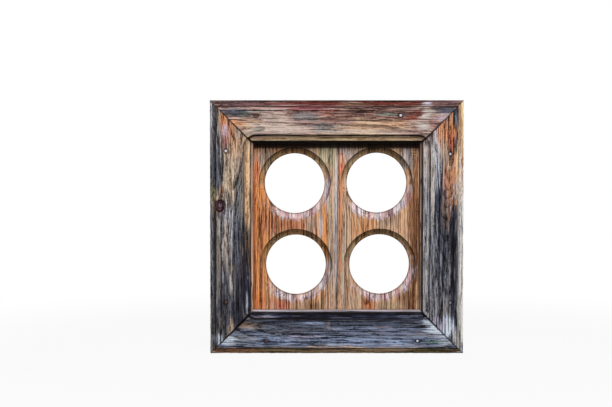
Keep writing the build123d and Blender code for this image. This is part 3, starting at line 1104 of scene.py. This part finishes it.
def panelDirtAndShade(settings, x, z, into, fromJoint):
    # dark lines round the openings, partly painted shade under the quirks and partly dirt, dark joints, and painted
    # shadow where the casing shades the panel, along its top, its sides and its foot
    def line(name, value):
        start, full, amount = panelLines[name]
        return amount * ramp(start, full, value)

    rise, sideways = np.zeros_like(z), np.zeros_like(z)
    for cx, cz in settings["openings"]:
        away = np.hypot(x - cx, z - cz)
        rise = np.where(away < panel["openingReach"], (z - cz) / np.maximum(away, 1), rise)
        sideways = np.where(away < panel["openingReach"], (x - cx) / np.maximum(away, 1), sideways)
    inCove = into < outside["coveEnd"]
    # painted shade under the quirk, strongest on the upper part of each rim, made uneven with dirt
    quirk = np.where(inCove, line("quirk", window["coveRadius"] - into), 0)
    quirk = quirk * (panelLines["quirkLow"] + line("quirkHigh", rise)) * (1 - line("quirkLeft", sideways))
    always, more = panelLines["quirkUneven"]
    dirt = quirk * (always + more * boardNoise("quirkStain", settings["log"]["seed"], x, z))
    dirt = dirt + np.where(inCove & (into > outside["coveEdge"]), line("edge", into), 0)
    dirt = dirt + panelLines["shadeShare"] * (line("shade", z) + line("shadeHigh", z))
    width, amount = panelLines["joint"]
    dirt = dirt + amount * np.exp(-fromJoint / width)
    dirt = dirt + line("side", window["frameOpen"] - np.abs(x))
    return dirt + line("foot", z + window["frameOpen"])


def makePanelBoard(name):
    settings = {**panelBoards[name], "grainLength": panel["grainLength"], "depthShare": panel["depthShare"]}
    points, normals, into, faces = panelShell(settings)
    x, y, z = points.T
    w = y - window["panelFront"]
    fromJoint = np.abs(x - (jointAt(z) + settings["hand"] * panel["jointGap"] / 2))
    marks, wear = weathered(settings, panel, z, x, w, settings["scatteredAcross"])
    wear = panelWear(settings, points, into, wear, marks["split"], fromJoint)
    moved = points - normals * wear[:, None]
    moved[:, 1] = np.clip(moved[:, 1], window["panelFront"], window["panelBack"])
    piece = makeMesh("panel_face_" + name, toFrame(moved), faces)
    outward(piece)
    finishBoard(piece, settings, (z, x, w), (x, z), marks, panelDirtAndShade(settings, x, z, into, fromJoint))
    tintRims(piece, settings, x, z, into)
    smoothShade(piece)
    return piece


# the tints of the rims: bleached and rosy below, with painted light, damp above, with painted shade, with ragged
# edges
rimTint = {
    "upward": (-0.34, 0.94),        # the direction in which a rim goes from bleached and lit to damp and shaded
    "start": 0.2,
    "drift": 0.35,
    "fringe": 7,
    "past": (5, -3),                # how far past the rim the tint runs out, mm
    "slack": 0.05,
    "ragged": (-0.4, 0.2),
    "raggedShare": (0.3, 0.7),
    "rosy": (0.1, 0.4),
    "darkShare": 0.7,               # of the dark fibres' light that is left in the tints
    "bleachedAndLitAt": (-0.15, -0.55, 0.86),     # where it starts and is full, and its amount
    "rosyAt": (-0.2, -0.6, 0.65),
    "dampAndShadedAt": (0.1, 0.7, 0.62),
}


def tintRims(piece, settings, x, z, into):
    # the lower half of each cove has bleached and is painted lighter as if lit from above, and the upper half has
    # stayed damp and dark and is painted as if in shade
    def noise(use):
        return boardNoise(use, settings["log"]["seed"], x, z)

    def amountAt(use, rise):
        start, full, amount = rimTint[use]
        return amount * ramp(start, full, rise)

    buffers = {}
    for name in ("lowTone", "highTone"):
        flat = np.zeros(len(x) * 4, np.float32)
        piece.data.attributes[name].data.foreach_get("color", flat)
        buffers[name] = flat.reshape(-1, 4)
    notDeep = into > outside["coveEdge"]
    rim = panel["openingRadius"] + window["coveRadius"]
    upX, upZ = rimTint["upward"]
    outer, inner = [rim + past for past in rimTint["past"]]
    least, more = rimTint["raggedShare"]
    for cx, cz in settings["openings"]:
        away = np.hypot(x - cx, z - cz)
        rise = (upZ * (z - cz) + upX * (x - cx)) / np.maximum(away, 1) + rimTint["start"] * noise("rimStart")
        rise = rise + rimTint["drift"] * noise("rimDrift")
        onCove = (away < rim + rimTint["slack"]) & notDeep & (into < outside["coveEnd"])
        past = ramp(outer, inner, away + rimTint["fringe"] * noise("rimFringe")) * notDeep
        ragged = ramp(*rimTint["ragged"], noise("rimRagged"))
        bleachedAndLit = amountAt("bleachedAndLitAt", rise) * past * (least + more * ragged)
        rosy = amountAt("rosyAt", rise) * past * ramp(*rimTint["rosy"], noise("rimRosy"))
        dampAndShaded = amountAt("dampAndShadedAt", rise) * onCove
        for tone, mask in (("rimWhite", bleachedAndLit), ("rimPink", rosy), ("rimOlive", dampAndShaded)):
            for values, colour, share in zip(buffers.values(), tones[tone], (rimTint["darkShare"], 1.0)):
                values[:, :3] += mask[:, None] * (linear(colour) * share - values[:, :3])
    for name, values in buffers.items():
        piece.data.attributes[name].data.foreach_set("color", values.ravel())


class Wire:
    # one output socket, so that sums of values can be written as sums

    def __init__(self, tree, socket=None):
        self.tree, self.socket = tree, socket

    def node(self, kind, settings=None, inputs=None, out=0):
        made = self.tree.nodes.new(kind)
        for key, value in (settings or {}).items():
            if key == "stops":
                ramped = made.color_ramp
                ramped.elements[0].position, ramped.elements[0].color = value[0]
                ramped.elements[1].position, ramped.elements[1].color = value[-1]
                for place, colour in value[1:-1]:
                    ramped.elements.new(place).color = colour
            else:
                setattr(made, key, value)
        for key, value in (inputs or {}).items():
            if isinstance(value, Wire):
                self.tree.links.new(value.socket, made.inputs[key])
            else:
                made.inputs[key].default_value = value
        return Wire(self.tree, made.outputs[out])

    def maths(self, operation, a, b=0.0):
        return self.node("ShaderNodeMath", {"operation": operation}, {0: a, 1: b})

    def __add__(self, other):
        return self.maths("ADD", self, other)

    def __radd__(self, other):
        return self.maths("ADD", other, self)

    def __sub__(self, other):
        return self.maths("SUBTRACT", self, other)

    def __rsub__(self, other):
        return self.maths("SUBTRACT", other, self)

    def __mul__(self, other):
        return self.maths("MULTIPLY", self, other)

    def __rmul__(self, other):
        return self.maths("MULTIPLY", other, self)

    def __abs__(self):
        return self.maths("ABSOLUTE", self)

    def clamped(self):
        return self.node("ShaderNodeClamp", {}, {"Value": self})

    def between(self, low, high):
        return self.node("ShaderNodeMapRange", {"interpolation_type": "SMOOTHSTEP"},
                         {"Value": self, "From Min": low, "From Max": high})

    def blend(self, factor, low, high):
        return self.node("ShaderNodeMix", {"data_type": "RGBA"}, {0: factor, 6: low, 7: high}, 2)

    def mixed(self, factor, other):
        return self.blend(factor, self, other)

    def attribute(self, name, out="Fac"):
        return self.node("ShaderNodeAttribute", {"attribute_name": name}, {}, out)

    def stretched(self, amounts):
        return self.node("ShaderNodeVectorMath", {"operation": "MULTIPLY"}, {0: self, 1: amounts})

    def noise(self, amounts, detail, rough, shift, bend=0.0):
        moved = (shift, shift * 0.7, shift * 1.3)
        place = self.node("ShaderNodeVectorMath", {"operation": "ADD"}, {0: self.stretched(amounts), 1: moved})
        return self.node("ShaderNodeTexNoise", {}, {
            "Vector": place, "Scale": 1.0, "Detail": detail, "Roughness": rough, "Distortion": bend,
        })


def newMaterial(name):
    material = bpy.data.materials.new(name)
    material.use_nodes = True
    tree = material.node_tree
    tree.nodes.clear()
    return material, Wire(tree)


def coated(start, surface, height, bump):
    # a surface with a bump of its own: its strength, and its height in metres
    strength, distance = bump
    normal = start.node("ShaderNodeBump", {}, {"Strength": strength, "Distance": distance, "Height": height})
    finishMaterial(start, start.node("ShaderNodeBsdfPrincipled", {}, {**surface, "Normal": normal}))


def finishMaterial(start, shader):
    made = start.tree.nodes.new("ShaderNodeOutputMaterial")
    start.tree.links.new(shader.socket, made.inputs["Surface"])


def rgba(colour):
    return (*[float(c) for c in linear(colour)], 1.0)


def thinLine(noise, start, stop):
    # a noise makes thin lines where it crosses its middle
    return 1 - abs(noise - 0.5).between(start, stop)


# weathered wood of the boards, painted from the boards' own attributes; cells per metre, along and across the grain
boardWood = {
    # cells along, cells across, detail, roughness, shift, bend, share of the colour
    "grain": {
        "broad": (9, 130, 2, 0.55, 3.1, 0.0, 0.9),
        "streaks": (30, 330, 3, 0.6, 7.7, 0.3, 1.1),
        "flecks": (80, 260, 2, 0.55, 2.9, 0.4, 0.6),
        "fibres": (95, 1700, 2, 0.6, 1.3, 0.0, 0.5),
        "specks": (330, 520, 1, 0.5, 6.3, 0.0, 0.5),
    },
    "lateWood": (0.45, 0.9, 0.95, 1.0),
    "fibreContrast": 2.7,
    "ringContrast": 0.42,
    "checks": (4, 190, 190),
    "checkWidth": (0.006, 0.02),
    "checkDepth": 0.8,
    "checkPatches": (9, 60, 60),
    "patchy": (0.52, 0.6),
    "dark": 0.96,
    "darkColour": (14, 8, 6),
    "flakes": (30, 620, 620),
    "flaky": (0.68, 0.8),
    "pale": 0.35,
    "paleColour": (236, 222, 204),
    "relief": {"fibres": 0.35, "streaks": 0.5, "late": 0.35, "split": 0.4},
    "bump": (0.7, 0.0009),
    "roughness": (0.74, 0.2, 0.05),     # everywhere, with the streaks, with the dirt and painted shade
    "specular": 0.12,
}


def makeBoardWood():
    material, start = newMaterial("weathered board")
    place = start.attribute("grainPlace", "Vector")
    split = start.attribute("split")
    grain, blend = {}, 0
    for name, (long, wide, detail, rough, shift, bend, share) in boardWood["grain"].items():
        grain[name] = place.noise((long, wide, wide), detail, rough, shift, bend)
        blend = (grain[name] - 0.5) * share + blend
    ring = start.attribute("ring")
    phase = ring.maths("FRACT", ring)
    lateStart, lateFull, lateEnd, ringEnd = boardWood["lateWood"]
    late = phase.between(lateStart, lateFull) * (1 - phase.between(lateEnd, ringEnd))
    blend = blend * boardWood["fibreContrast"] + (0.5 - late) * boardWood["ringContrast"] + 0.5
    colour = start.attribute("lowTone", "Color").mixed(blend.clamped(), start.attribute("highTone", "Color"))
    thin = thinLine(place.noise(boardWood["checks"], 1, 0.5, 5.5), *boardWood["checkWidth"])
    patchy = place.noise(boardWood["checkPatches"], 1, 0.5, 9.2).between(*boardWood["patchy"])
    checked = thin * patchy * boardWood["checkDepth"]
    # splits, checks, dirt and painted shade darken the colour towards one dark brown
    dark = (split + checked + start.attribute("dirt")).clamped()
    colour = colour.mixed(dark * boardWood["dark"], rgba(boardWood["darkColour"]))
    pale = place.noise(boardWood["flakes"], 1, 0.5, 12.4).between(*boardWood["flaky"])
    colour = colour.mixed(pale * boardWood["pale"] * (1 - dark), rgba(boardWood["paleColour"]))
    relief = boardWood["relief"]
    height = grain["fibres"] * relief["fibres"] + grain["streaks"] * relief["streaks"] + late * relief["late"]
    height = height - checked - split * relief["split"]
    everywhere, inStreaks, inDirtAndShade = boardWood["roughness"]
    rough = (everywhere + grain["streaks"] * inStreaks + dark * inDirtAndShade).clamped()
    surface = {"Base Color": colour, "Roughness": rough, "Specular IOR Level": boardWood["specular"]}
    coated(start, surface, height, boardWood["bump"])
    return material


# plain sawn wood for the sub-frame, the beads and the pegs, on object coordinates in metres
sawn = {
    "cells": (14, 330),                 # per metre, along and across the grain
    "wideShare": 0.36,
    "fineShare": 4.2,
    "sawCells": (420, 30),
    "shares": (2.0, 1.2, 0.7, 0.35),    # of streaks, broad bands, fibres and saw marks in the colour
    "endRings": {"Scale": 90.0, "Distortion": 3.0, "Detail": 2.0, "Detail Scale": 1.2},
    "frontFade": (-0.0235, -0.0165),    # how deep the front strip's colour, with its painted light and shade, reaches, in metres of Y
    # the painted shadow beside the casing's lip, and its colour
    "lipShadow": 0.92,
    "lipShadowColour": (16, 12, 14),
    "checkWidth": (0.005, 0.018),
    "checks": 0.8,
    "checkColour": (18, 12, 10),
    "grimeCells": (9, 9, 9),
    "grimy": (0.5, 0.75),
    "grime": 0.4,
    "grimeColour": (52, 44, 40),
    "relief": (0.5, 0.3, 0.3, 0.6),     # of streaks, fibres, saw marks and checks
    "bump": (0.6, 0.0007),
    "roughness": (0.72, 0.2),
    "specular": 0.15,
    "frameColours": ((98, 78, 62), (186, 158, 130)),
    "beadColours": ((92, 68, 48), (186, 150, 112)),
    "pegColours": ((66, 44, 30), (150, 112, 78)),
}

# the strip of each sub-frame timber that shows inside the casing: the axis across it,
# where it is free of the painted shadow beside the casing's lip and where that shadow is full, in metres, and its two
# colours, which hold painted light and shade: dark under the head, pale on the sill and the left jamb, darker on the
# right jamb
frontStrips = {
    "frame_head": ("Z", 0.478, 0.4785, ((14, 9, 8), (58, 42, 34))),
    "frame_sill": ("Z", 0.0866, 0.0856, ((138, 124, 134), (234, 224, 236))),
    "frame_jamb_left": ("X", -0.2024, -0.2036, ((94, 54, 42), (230, 184, 160))),
    "frame_jamb_right": ("X", 0.2006, 0.2018, ((66, 46, 38), (160, 132, 118))),
}


def directed(along, long, wide):
    return tuple(long if axis == along else wide for axis in "xyz")


def makeSawnWood(name, along, colours, front=None):
    material, start = newMaterial(name)
    place = start.node("ShaderNodeTexCoord", {}, {}, "Object")
    cells = directed(along, *sawn["cells"])
    wide = tuple(c * sawn["wideShare"] for c in cells)
    fine = tuple(c * sawn["fineShare"] for c in cells)
    streaks = place.noise(cells, 3, 0.6, 2.2, 0.3)
    broad = place.noise(wide, 2, 0.5, 6.6)
    fibres = place.noise(fine, 2, 0.6, 4.4)
    saw = place.noise(directed(along, *sawn["sawCells"]), 1, 0.5, 8.1)
    if along == "y":
        # a peg shows its end grain
        rings = start.node("ShaderNodeTexWave", {"wave_type": "RINGS", "rings_direction": "Y"},
                           {"Vector": place.stretched((1, 0, 1)), **sawn["endRings"]})
        streaks = streaks * 0.5 + rings * 0.5
    blend = 0
    for noise, share in zip((streaks, broad, fibres, saw), sawn["shares"]):
        blend = (noise - 0.5) * share + blend
    blend = (blend + 0.5).clamped()
    colour = start.blend(blend, *[rgba(c) for c in colours])
    if front:
        # the strip that shows inside the casing has its own colours, with painted light and shade for its side, and a
        # painted shadow line beside the casing's lip
        axis, clean, shaded, stripColours = front
        shown = 1 - start.node("ShaderNodeSeparateXYZ", {}, {"Vector": place}, 1).between(*sawn["frontFade"])
        colour = colour.mixed(shown, start.blend(blend, *[rgba(c) for c in stripColours]))
        across = start.node("ShaderNodeSeparateXYZ", {}, {"Vector": place}, "XYZ".index(axis))
        lipShadow = across.between(clean, shaded) if clean < shaded else 1 - across.between(shaded, clean)
        colour = colour.mixed(lipShadow * shown * sawn["lipShadow"], rgba(sawn["lipShadowColour"]))
    thin = thinLine(place.noise(wide, 1, 0.5, 5.0, 0.3), *sawn["checkWidth"])
    grime = place.noise(sawn["grimeCells"], 3, 0.6, 1.9).between(*sawn["grimy"])
    colour = colour.mixed(grime * sawn["grime"], rgba(sawn["grimeColour"]))
    colour = colour.mixed(thin * sawn["checks"], rgba(sawn["checkColour"]))
    inStreaks, inFibres, inSaw, inChecks = sawn["relief"]
    height = streaks * inStreaks + fibres * inFibres + saw * inSaw - thin * inChecks
    everywhere, more = sawn["roughness"]
    rough = (everywhere + streaks * more).clamped()
    surface = {"Base Color": colour, "Roughness": rough, "Specular IOR Level": sawn["specular"]}
    coated(start, surface, height, sawn["bump"])
    return material


nailSteel = {
    "rust": ((44, 24, 18), (122, 74, 50)),
    "bare": ((150, 152, 166), (226, 228, 240)),
    "rusty": (0.35, 0.65),
    "gritty": (0.3, 0.7),
    "worn": (1.5, 1.4, -0.25),      # how bare metal follows the head's wear and the spots
    "relief": (0.6, 0.6),
    "bump": (0.6, 0.0002),
    "metallic": 0.35,
    "roughness": (0.82, 0.35),
    "specular": 0.3,
}


def makeNailSteel():
    material, start = newMaterial("nail steel")
    place = start.node("ShaderNodeTexCoord", {}, {}, "Object")
    worn = start.attribute("headWorn")
    spots = place.noise((900, 900, 900), 3, 0.65, 3.3)
    grit = place.noise((3200, 3200, 3200), 2, 0.6, 1.1)
    rust = start.blend(spots.between(*nailSteel["rusty"]), *[rgba(c) for c in nailSteel["rust"]])
    bare = start.blend(grit.between(*nailSteel["gritty"]), *[rgba(c) for c in nailSteel["bare"]])
    byWear, bySpots, shift = nailSteel["worn"]
    clean = (worn * byWear + (spots - 0.5) * bySpots + shift).clamped()
    dull, less = nailSteel["roughness"]
    inGrit, inSpots = nailSteel["relief"]
    surface = {
        "Base Color": rust.mixed(clean, bare), "Metallic": clean * nailSteel["metallic"],
        "Roughness": dull - clean * less, "Specular IOR Level": nailSteel["specular"],
    }
    coated(start, surface, grit * inGrit + spots * inSpots, nailSteel["bump"])
    return material


# casing nails: one Geometry Nodes tree puts a nail on each marked spot; lengths in millimetres
nail = {
    "length": 60.0,
    "short": 1.0,           # the shank is this much shorter, because the head is added to it
    "width": 3.4,
    "tip": 1.6,
    "headRadius": 3.1,
    "headThick": 1.2,
    "crown": 0.35,          # share of the head's thickness that is domed
    "crownTop": 0.72,       # radius of the dome's flat top, as a share of the head's
    "corner": 0.7,          # from a square shank's width to the distance of its corners
    "shankStart": 0.8,
    "sunk": 0.35,
    "tilt": 0.05,
    "seed": 5,
}


headWorn = {"top": (0.05, 1.0), "right": (0.62, 0.4), "bottom": (0.8, 0.12), "left": (0.1, 0.9)}


def nailPoints():
    places, worn = [], []
    for side, spots in nailSpots.items():
        for (spot, inset), wear in zip(spots, headWorn[side]):
            top = np.array([[spot, -window["casingThick"], window["casingHalf"] - inset]])
            places.append(turned(top, casingBoards[side]["turn"])[0])
            places[-1][1] += nail["sunk"]
            worn.append(wear)
    return toFrame(np.array(places)), worn


def nailTree(steel):
    tree = bpy.data.node_groups.new("casing nails", "GeometryNodeTree")
    tree.interface.new_socket("Geometry", in_out="INPUT", socket_type="NodeSocketGeometry")
    tree.interface.new_socket("Geometry", in_out="OUTPUT", socket_type="NodeSocketGeometry")
    for label in ("Head Radius", "Head Thickness", "Shank Length", "Shank Width", "Tip Width", "Tilt"):
        tree.interface.new_socket(label, in_out="INPUT", socket_type="NodeSocketFloat")
    tree.interface.new_socket("Seed", in_out="INPUT", socket_type="NodeSocketInt")
    start = Wire(tree)
    given = tree.nodes.new("NodeGroupInput")

    def value(label):
        return Wire(tree, given.outputs[label])

    def cone(vertices, segments, top, bottom, depth, **more):
        return start.node("GeometryNodeMeshCone", {"fill_type": "NGON"}, {
            "Vertices": vertices, "Side Segments": segments, "Radius Top": top, "Radius Bottom": bottom,
            "Depth": depth, **more,
        })

    def lifted(shape, height):
        offset = start.node("ShaderNodeCombineXYZ", {}, {"Z": height})
        return start.node("GeometryNodeTransform", {}, {"Geometry": shape, "Translation": offset})

    crown = value("Head Thickness") * nail["crown"]
    head = value("Head Radius")
    rim = cone(20, 1, head, head, value("Head Thickness") - crown)
    dome = cone(20, 2, head * nail["crownTop"], head, crown, **{"Fill Segments": 2})
    tip, foot = value("Tip Width") * nail["corner"], value("Shank Width") * nail["corner"]
    shank = cone(4, 6, tip, foot, value("Shank Length"))
    # built standing on the head's underside, point upwards, so that its +Z is the way it is driven
    headTurned = start.node("GeometryNodeTransform", {}, {"Geometry": dome, "Rotation": (math.pi, 0.0, 0.0)})
    shankLift = value("Head Thickness") * nail["shankStart"]
    parts = [lifted(headTurned, crown), lifted(rim, crown), lifted(shank, shankLift)]
    joined = tree.nodes.new("GeometryNodeJoinGeometry")
    for part in parts:
        tree.links.new(part.socket, joined.inputs[0])
    joined = Wire(tree, joined.outputs[0])
    smooth = start.node("GeometryNodeMergeByDistance", {}, {"Geometry": joined, "Distance": 0.00001})
    spin = start.node("FunctionNodeRandomValue", {"data_type": "FLOAT_VECTOR"}, {
        "Min": (-1.0, -1.0, -3.0), "Max": (1.0, 1.0, 3.0), "Seed": value("Seed"),
    })
    lean = start.node("ShaderNodeVectorMath", {"operation": "SCALE"}, {0: spin, "Scale": value("Tilt")})
    drive = start.node("ShaderNodeVectorMath", {"operation": "ADD"}, {0: lean, 1: (-math.pi / 2, 0.0, 0.0)})
    placed = start.node("GeometryNodeInstanceOnPoints", {}, {
        "Points": value("Geometry"), "Instance": smooth, "Rotation": drive,
    })
    real = start.node("GeometryNodeRealizeInstances", {}, {"Geometry": placed})
    finished = start.node("GeometryNodeSetMaterial", {}, {"Geometry": real, "Material": steel})
    final = tree.nodes.new("NodeGroupOutput")
    tree.links.new(finished.socket, final.inputs[0])
    return tree


def makeNails(steel):
    places, worn = nailPoints()
    marks = bpy.data.meshes.new("nail marks")
    marks.from_pydata([tuple(p) for p in places], [], [])
    holder = bpy.data.objects.new("nail marks", marks)
    bpy.context.scene.collection.objects.link(holder)
    setValues(holder, "headWorn", "FLOAT", np.array(worn))
    modifier = holder.modifiers.new("nails", "NODES")
    modifier.node_group = nailTree(steel)
    wanted = {
        "Head Radius": nail["headRadius"] / perMetre,
        "Head Thickness": nail["headThick"] / perMetre,
        "Shank Length": (nail["length"] - nail["short"]) / perMetre,
        "Shank Width": nail["width"] / perMetre,
        "Tip Width": nail["tip"] / perMetre,
        "Tilt": nail["tilt"],
        "Seed": nail["seed"],
    }
    for item in modifier.node_group.interface.items_tree:
        if item.in_out == "INPUT" and item.name in wanted:
            modifier[item.identifier] = wanted[item.name]
    evaluated = holder.evaluated_get(bpy.context.evaluated_depsgraph_get())
    mesh = bpy.data.meshes.new_from_object(evaluated)
    piece = bpy.data.objects.new("nails_in_casing", mesh)
    bpy.context.scene.collection.objects.link(piece)
    bpy.data.objects.remove(holder)
    if not mesh.materials:
        mesh.materials.append(steel)
    smoothShade(piece, 30)
    return piece


# camera, light and floor, in metres
view = {
    "lens": 86.0,
    "sensor": 36.0,
    "distance": 3.441,
    "lookLeft": 0.0727,     # the picture's middle lies this far left of the window's middle
    "lookUp": 0.0566,
    "tilt": 2.2,            # degrees that the camera looks down
}

light = {
    "keyPower": 82.0,
    "keySize": 1.2,
    "keyPlace": (0.45, -2.25, 2.2),
    "backPower": 40.0,
    "backPlace": (-0.9, 2.6, 1.9),
    "fillPower": 6.0,
    "fillSize": 2.4,
    "fillPlace": (-1.6, -3.0, 0.9),
    "sky": 0.1,
    "floorLevel": -0.012,
    "floorHalf": 6.0,
    "floorWhite": 0.93,     # how much of the floor near the window is plain white to the camera
    "floorFade": (0.7, 1.6),
    "floorColour": (0.42, 0.42, 0.42),
}


def aim(thing, target):
    way = Vector(target) - thing.location
    thing.rotation_euler = way.to_track_quat("-Z", "Y").to_euler()


def makeCamera():
    data = bpy.data.cameras.new("view")
    data.lens = view["lens"]
    data.sensor_width = view["sensor"]
    camera = bpy.data.objects.new("view", data)
    bpy.context.scene.collection.objects.link(camera)
    low, high = solidBox
    middleX = (low[0] + high[0]) / 2 - view["lookLeft"]
    middleZ = (low[2] + high[2]) / 2 + view["lookUp"]
    tilt = math.radians(view["tilt"])
    back, up = view["distance"] * math.cos(tilt), view["distance"] * math.sin(tilt)
    camera.location = (middleX, low[1] - back, middleZ + up)
    camera.rotation_euler = (math.pi / 2 - tilt, 0, 0)
    bpy.context.scene.camera = camera


def makeLamp(name, place, size, power):
    data = bpy.data.lights.new(name, "AREA")
    data.shape = "SQUARE"
    data.size = size
    data.energy = power
    lamp = bpy.data.objects.new(name, data)
    bpy.context.scene.collection.objects.link(lamp)
    lamp.location = place
    aim(lamp, (0, 0, window["frameHalf"] / perMetre))


def seenRays(start):
    # 1 where a surface or the sky is looked at, also in a mirror or through a pane
    camera, glossy, through = [start.node("ShaderNodeLightPath", {}, {}, "Is %s Ray" % kind)
                               for kind in ("Camera", "Glossy", "Transmission")]
    return (camera + glossy + through).clamped()


def makeWorld():
    world = bpy.data.worlds.new("studio")
    bpy.context.scene.world = world
    world.use_nodes = True
    world.node_tree.nodes.clear()
    start = Wire(world.node_tree)
    seen = seenRays(start)
    sky = start.node("ShaderNodeBackground", {}, {"Color": (1, 1, 1, 1), "Strength": light["sky"]})
    white = start.node("ShaderNodeBackground", {}, {"Color": (1, 1, 1, 1), "Strength": 1.0})
    both = start.node("ShaderNodeMixShader", {}, {0: seen, 1: sky, 2: white})
    final = start.tree.nodes.new("ShaderNodeOutputWorld")
    start.tree.links.new(both.socket, final.inputs["Surface"])


def makeFloor():
    half, level = light["floorHalf"], light["floorLevel"]
    corners = [(-half, -half, level), (half, -half, level), (half, half, level), (-half, half, level)]
    mesh = bpy.data.meshes.new("floor")
    mesh.from_pydata(corners, [], [(0, 1, 2, 3)])
    floor = bpy.data.objects.new("floor", mesh)
    bpy.context.scene.collection.objects.link(floor)
    material, start = newMaterial("pale floor")
    place = start.node("ShaderNodeTexCoord", {}, {}, "Object")
    away = start.node("ShaderNodeVectorMath", {"operation": "LENGTH"}, {0: place}, "Value")
    far = away.between(*light["floorFade"])
    white = far * (1 - light["floorWhite"]) + light["floorWhite"]
    seen = seenRays(start) * white
    matt = start.node("ShaderNodeBsdfDiffuse", {}, {"Color": (*light["floorColour"], 1)})
    glow = start.node("ShaderNodeEmission", {}, {"Color": (1, 1, 1, 1), "Strength": 1.0})
    both = start.node("ShaderNodeMixShader", {}, {0: seen, 1: matt, 2: glow})
    finishMaterial(start, both)
    mesh.materials.append(material)


bpy.context.scene.view_settings.view_transform = "Standard"
makeCamera()
makeWorld()
makeFloor()
makeLamp("key softbox", light["keyPlace"], light["keySize"], light["keyPower"])
makeLamp("fill softbox", light["fillPlace"], light["fillSize"], light["fillPower"])
makeLamp("back softbox", light["backPlace"], light["fillSize"], light["backPower"])
print("window: camera, light and floor")

boardMaterial = makeBoardWood()
for side in casingBoards:
    board = makeCasingBoard(side)
    board.data.materials.append(boardMaterial)
    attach(board, "root")
    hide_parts("casing_" + side)
    print("window: casing board", side, len(board.data.polygons))

for name in panelBoards:
    board = makePanelBoard(name)
    board.data.materials.append(boardMaterial)
    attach(board, "root")
    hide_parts("panel_board_" + name)
    print("window: panel board", name, len(board.data.polygons))

steel = makeNailSteel()
nails = makeNails(steel)
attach(nails, "root")
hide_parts("casing_nails")
print("window: nails", len(nails.data.polygons))

carried = {}
for name, label, along in (("frame_head", "sub-frame head", "x"), ("frame_sill", "sub-frame sill", "x"),
                           ("frame_jamb_left", "sub-frame left", "z"), ("frame_jamb_right", "sub-frame right", "z")):
    carried[name] = makeSawnWood(label, along, sawn["frameColours"], frontStrips[name])
carried["bead_top"] = carried["bead_bottom"] = makeSawnWood("bead across", "x", sawn["beadColours"])
carried["bead_left"] = carried["bead_right"] = makeSawnWood("bead upright", "z", sawn["beadColours"])
carried["frame_pegs"] = makeSawnWood("peg end grain", "y", sawn["pegColours"])
carried["bead_pins"] = steel
for name, material in carried.items():
    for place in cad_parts[name].material_slots:
        place.material = material
print("window: sub-frame, beads, pegs and pins")
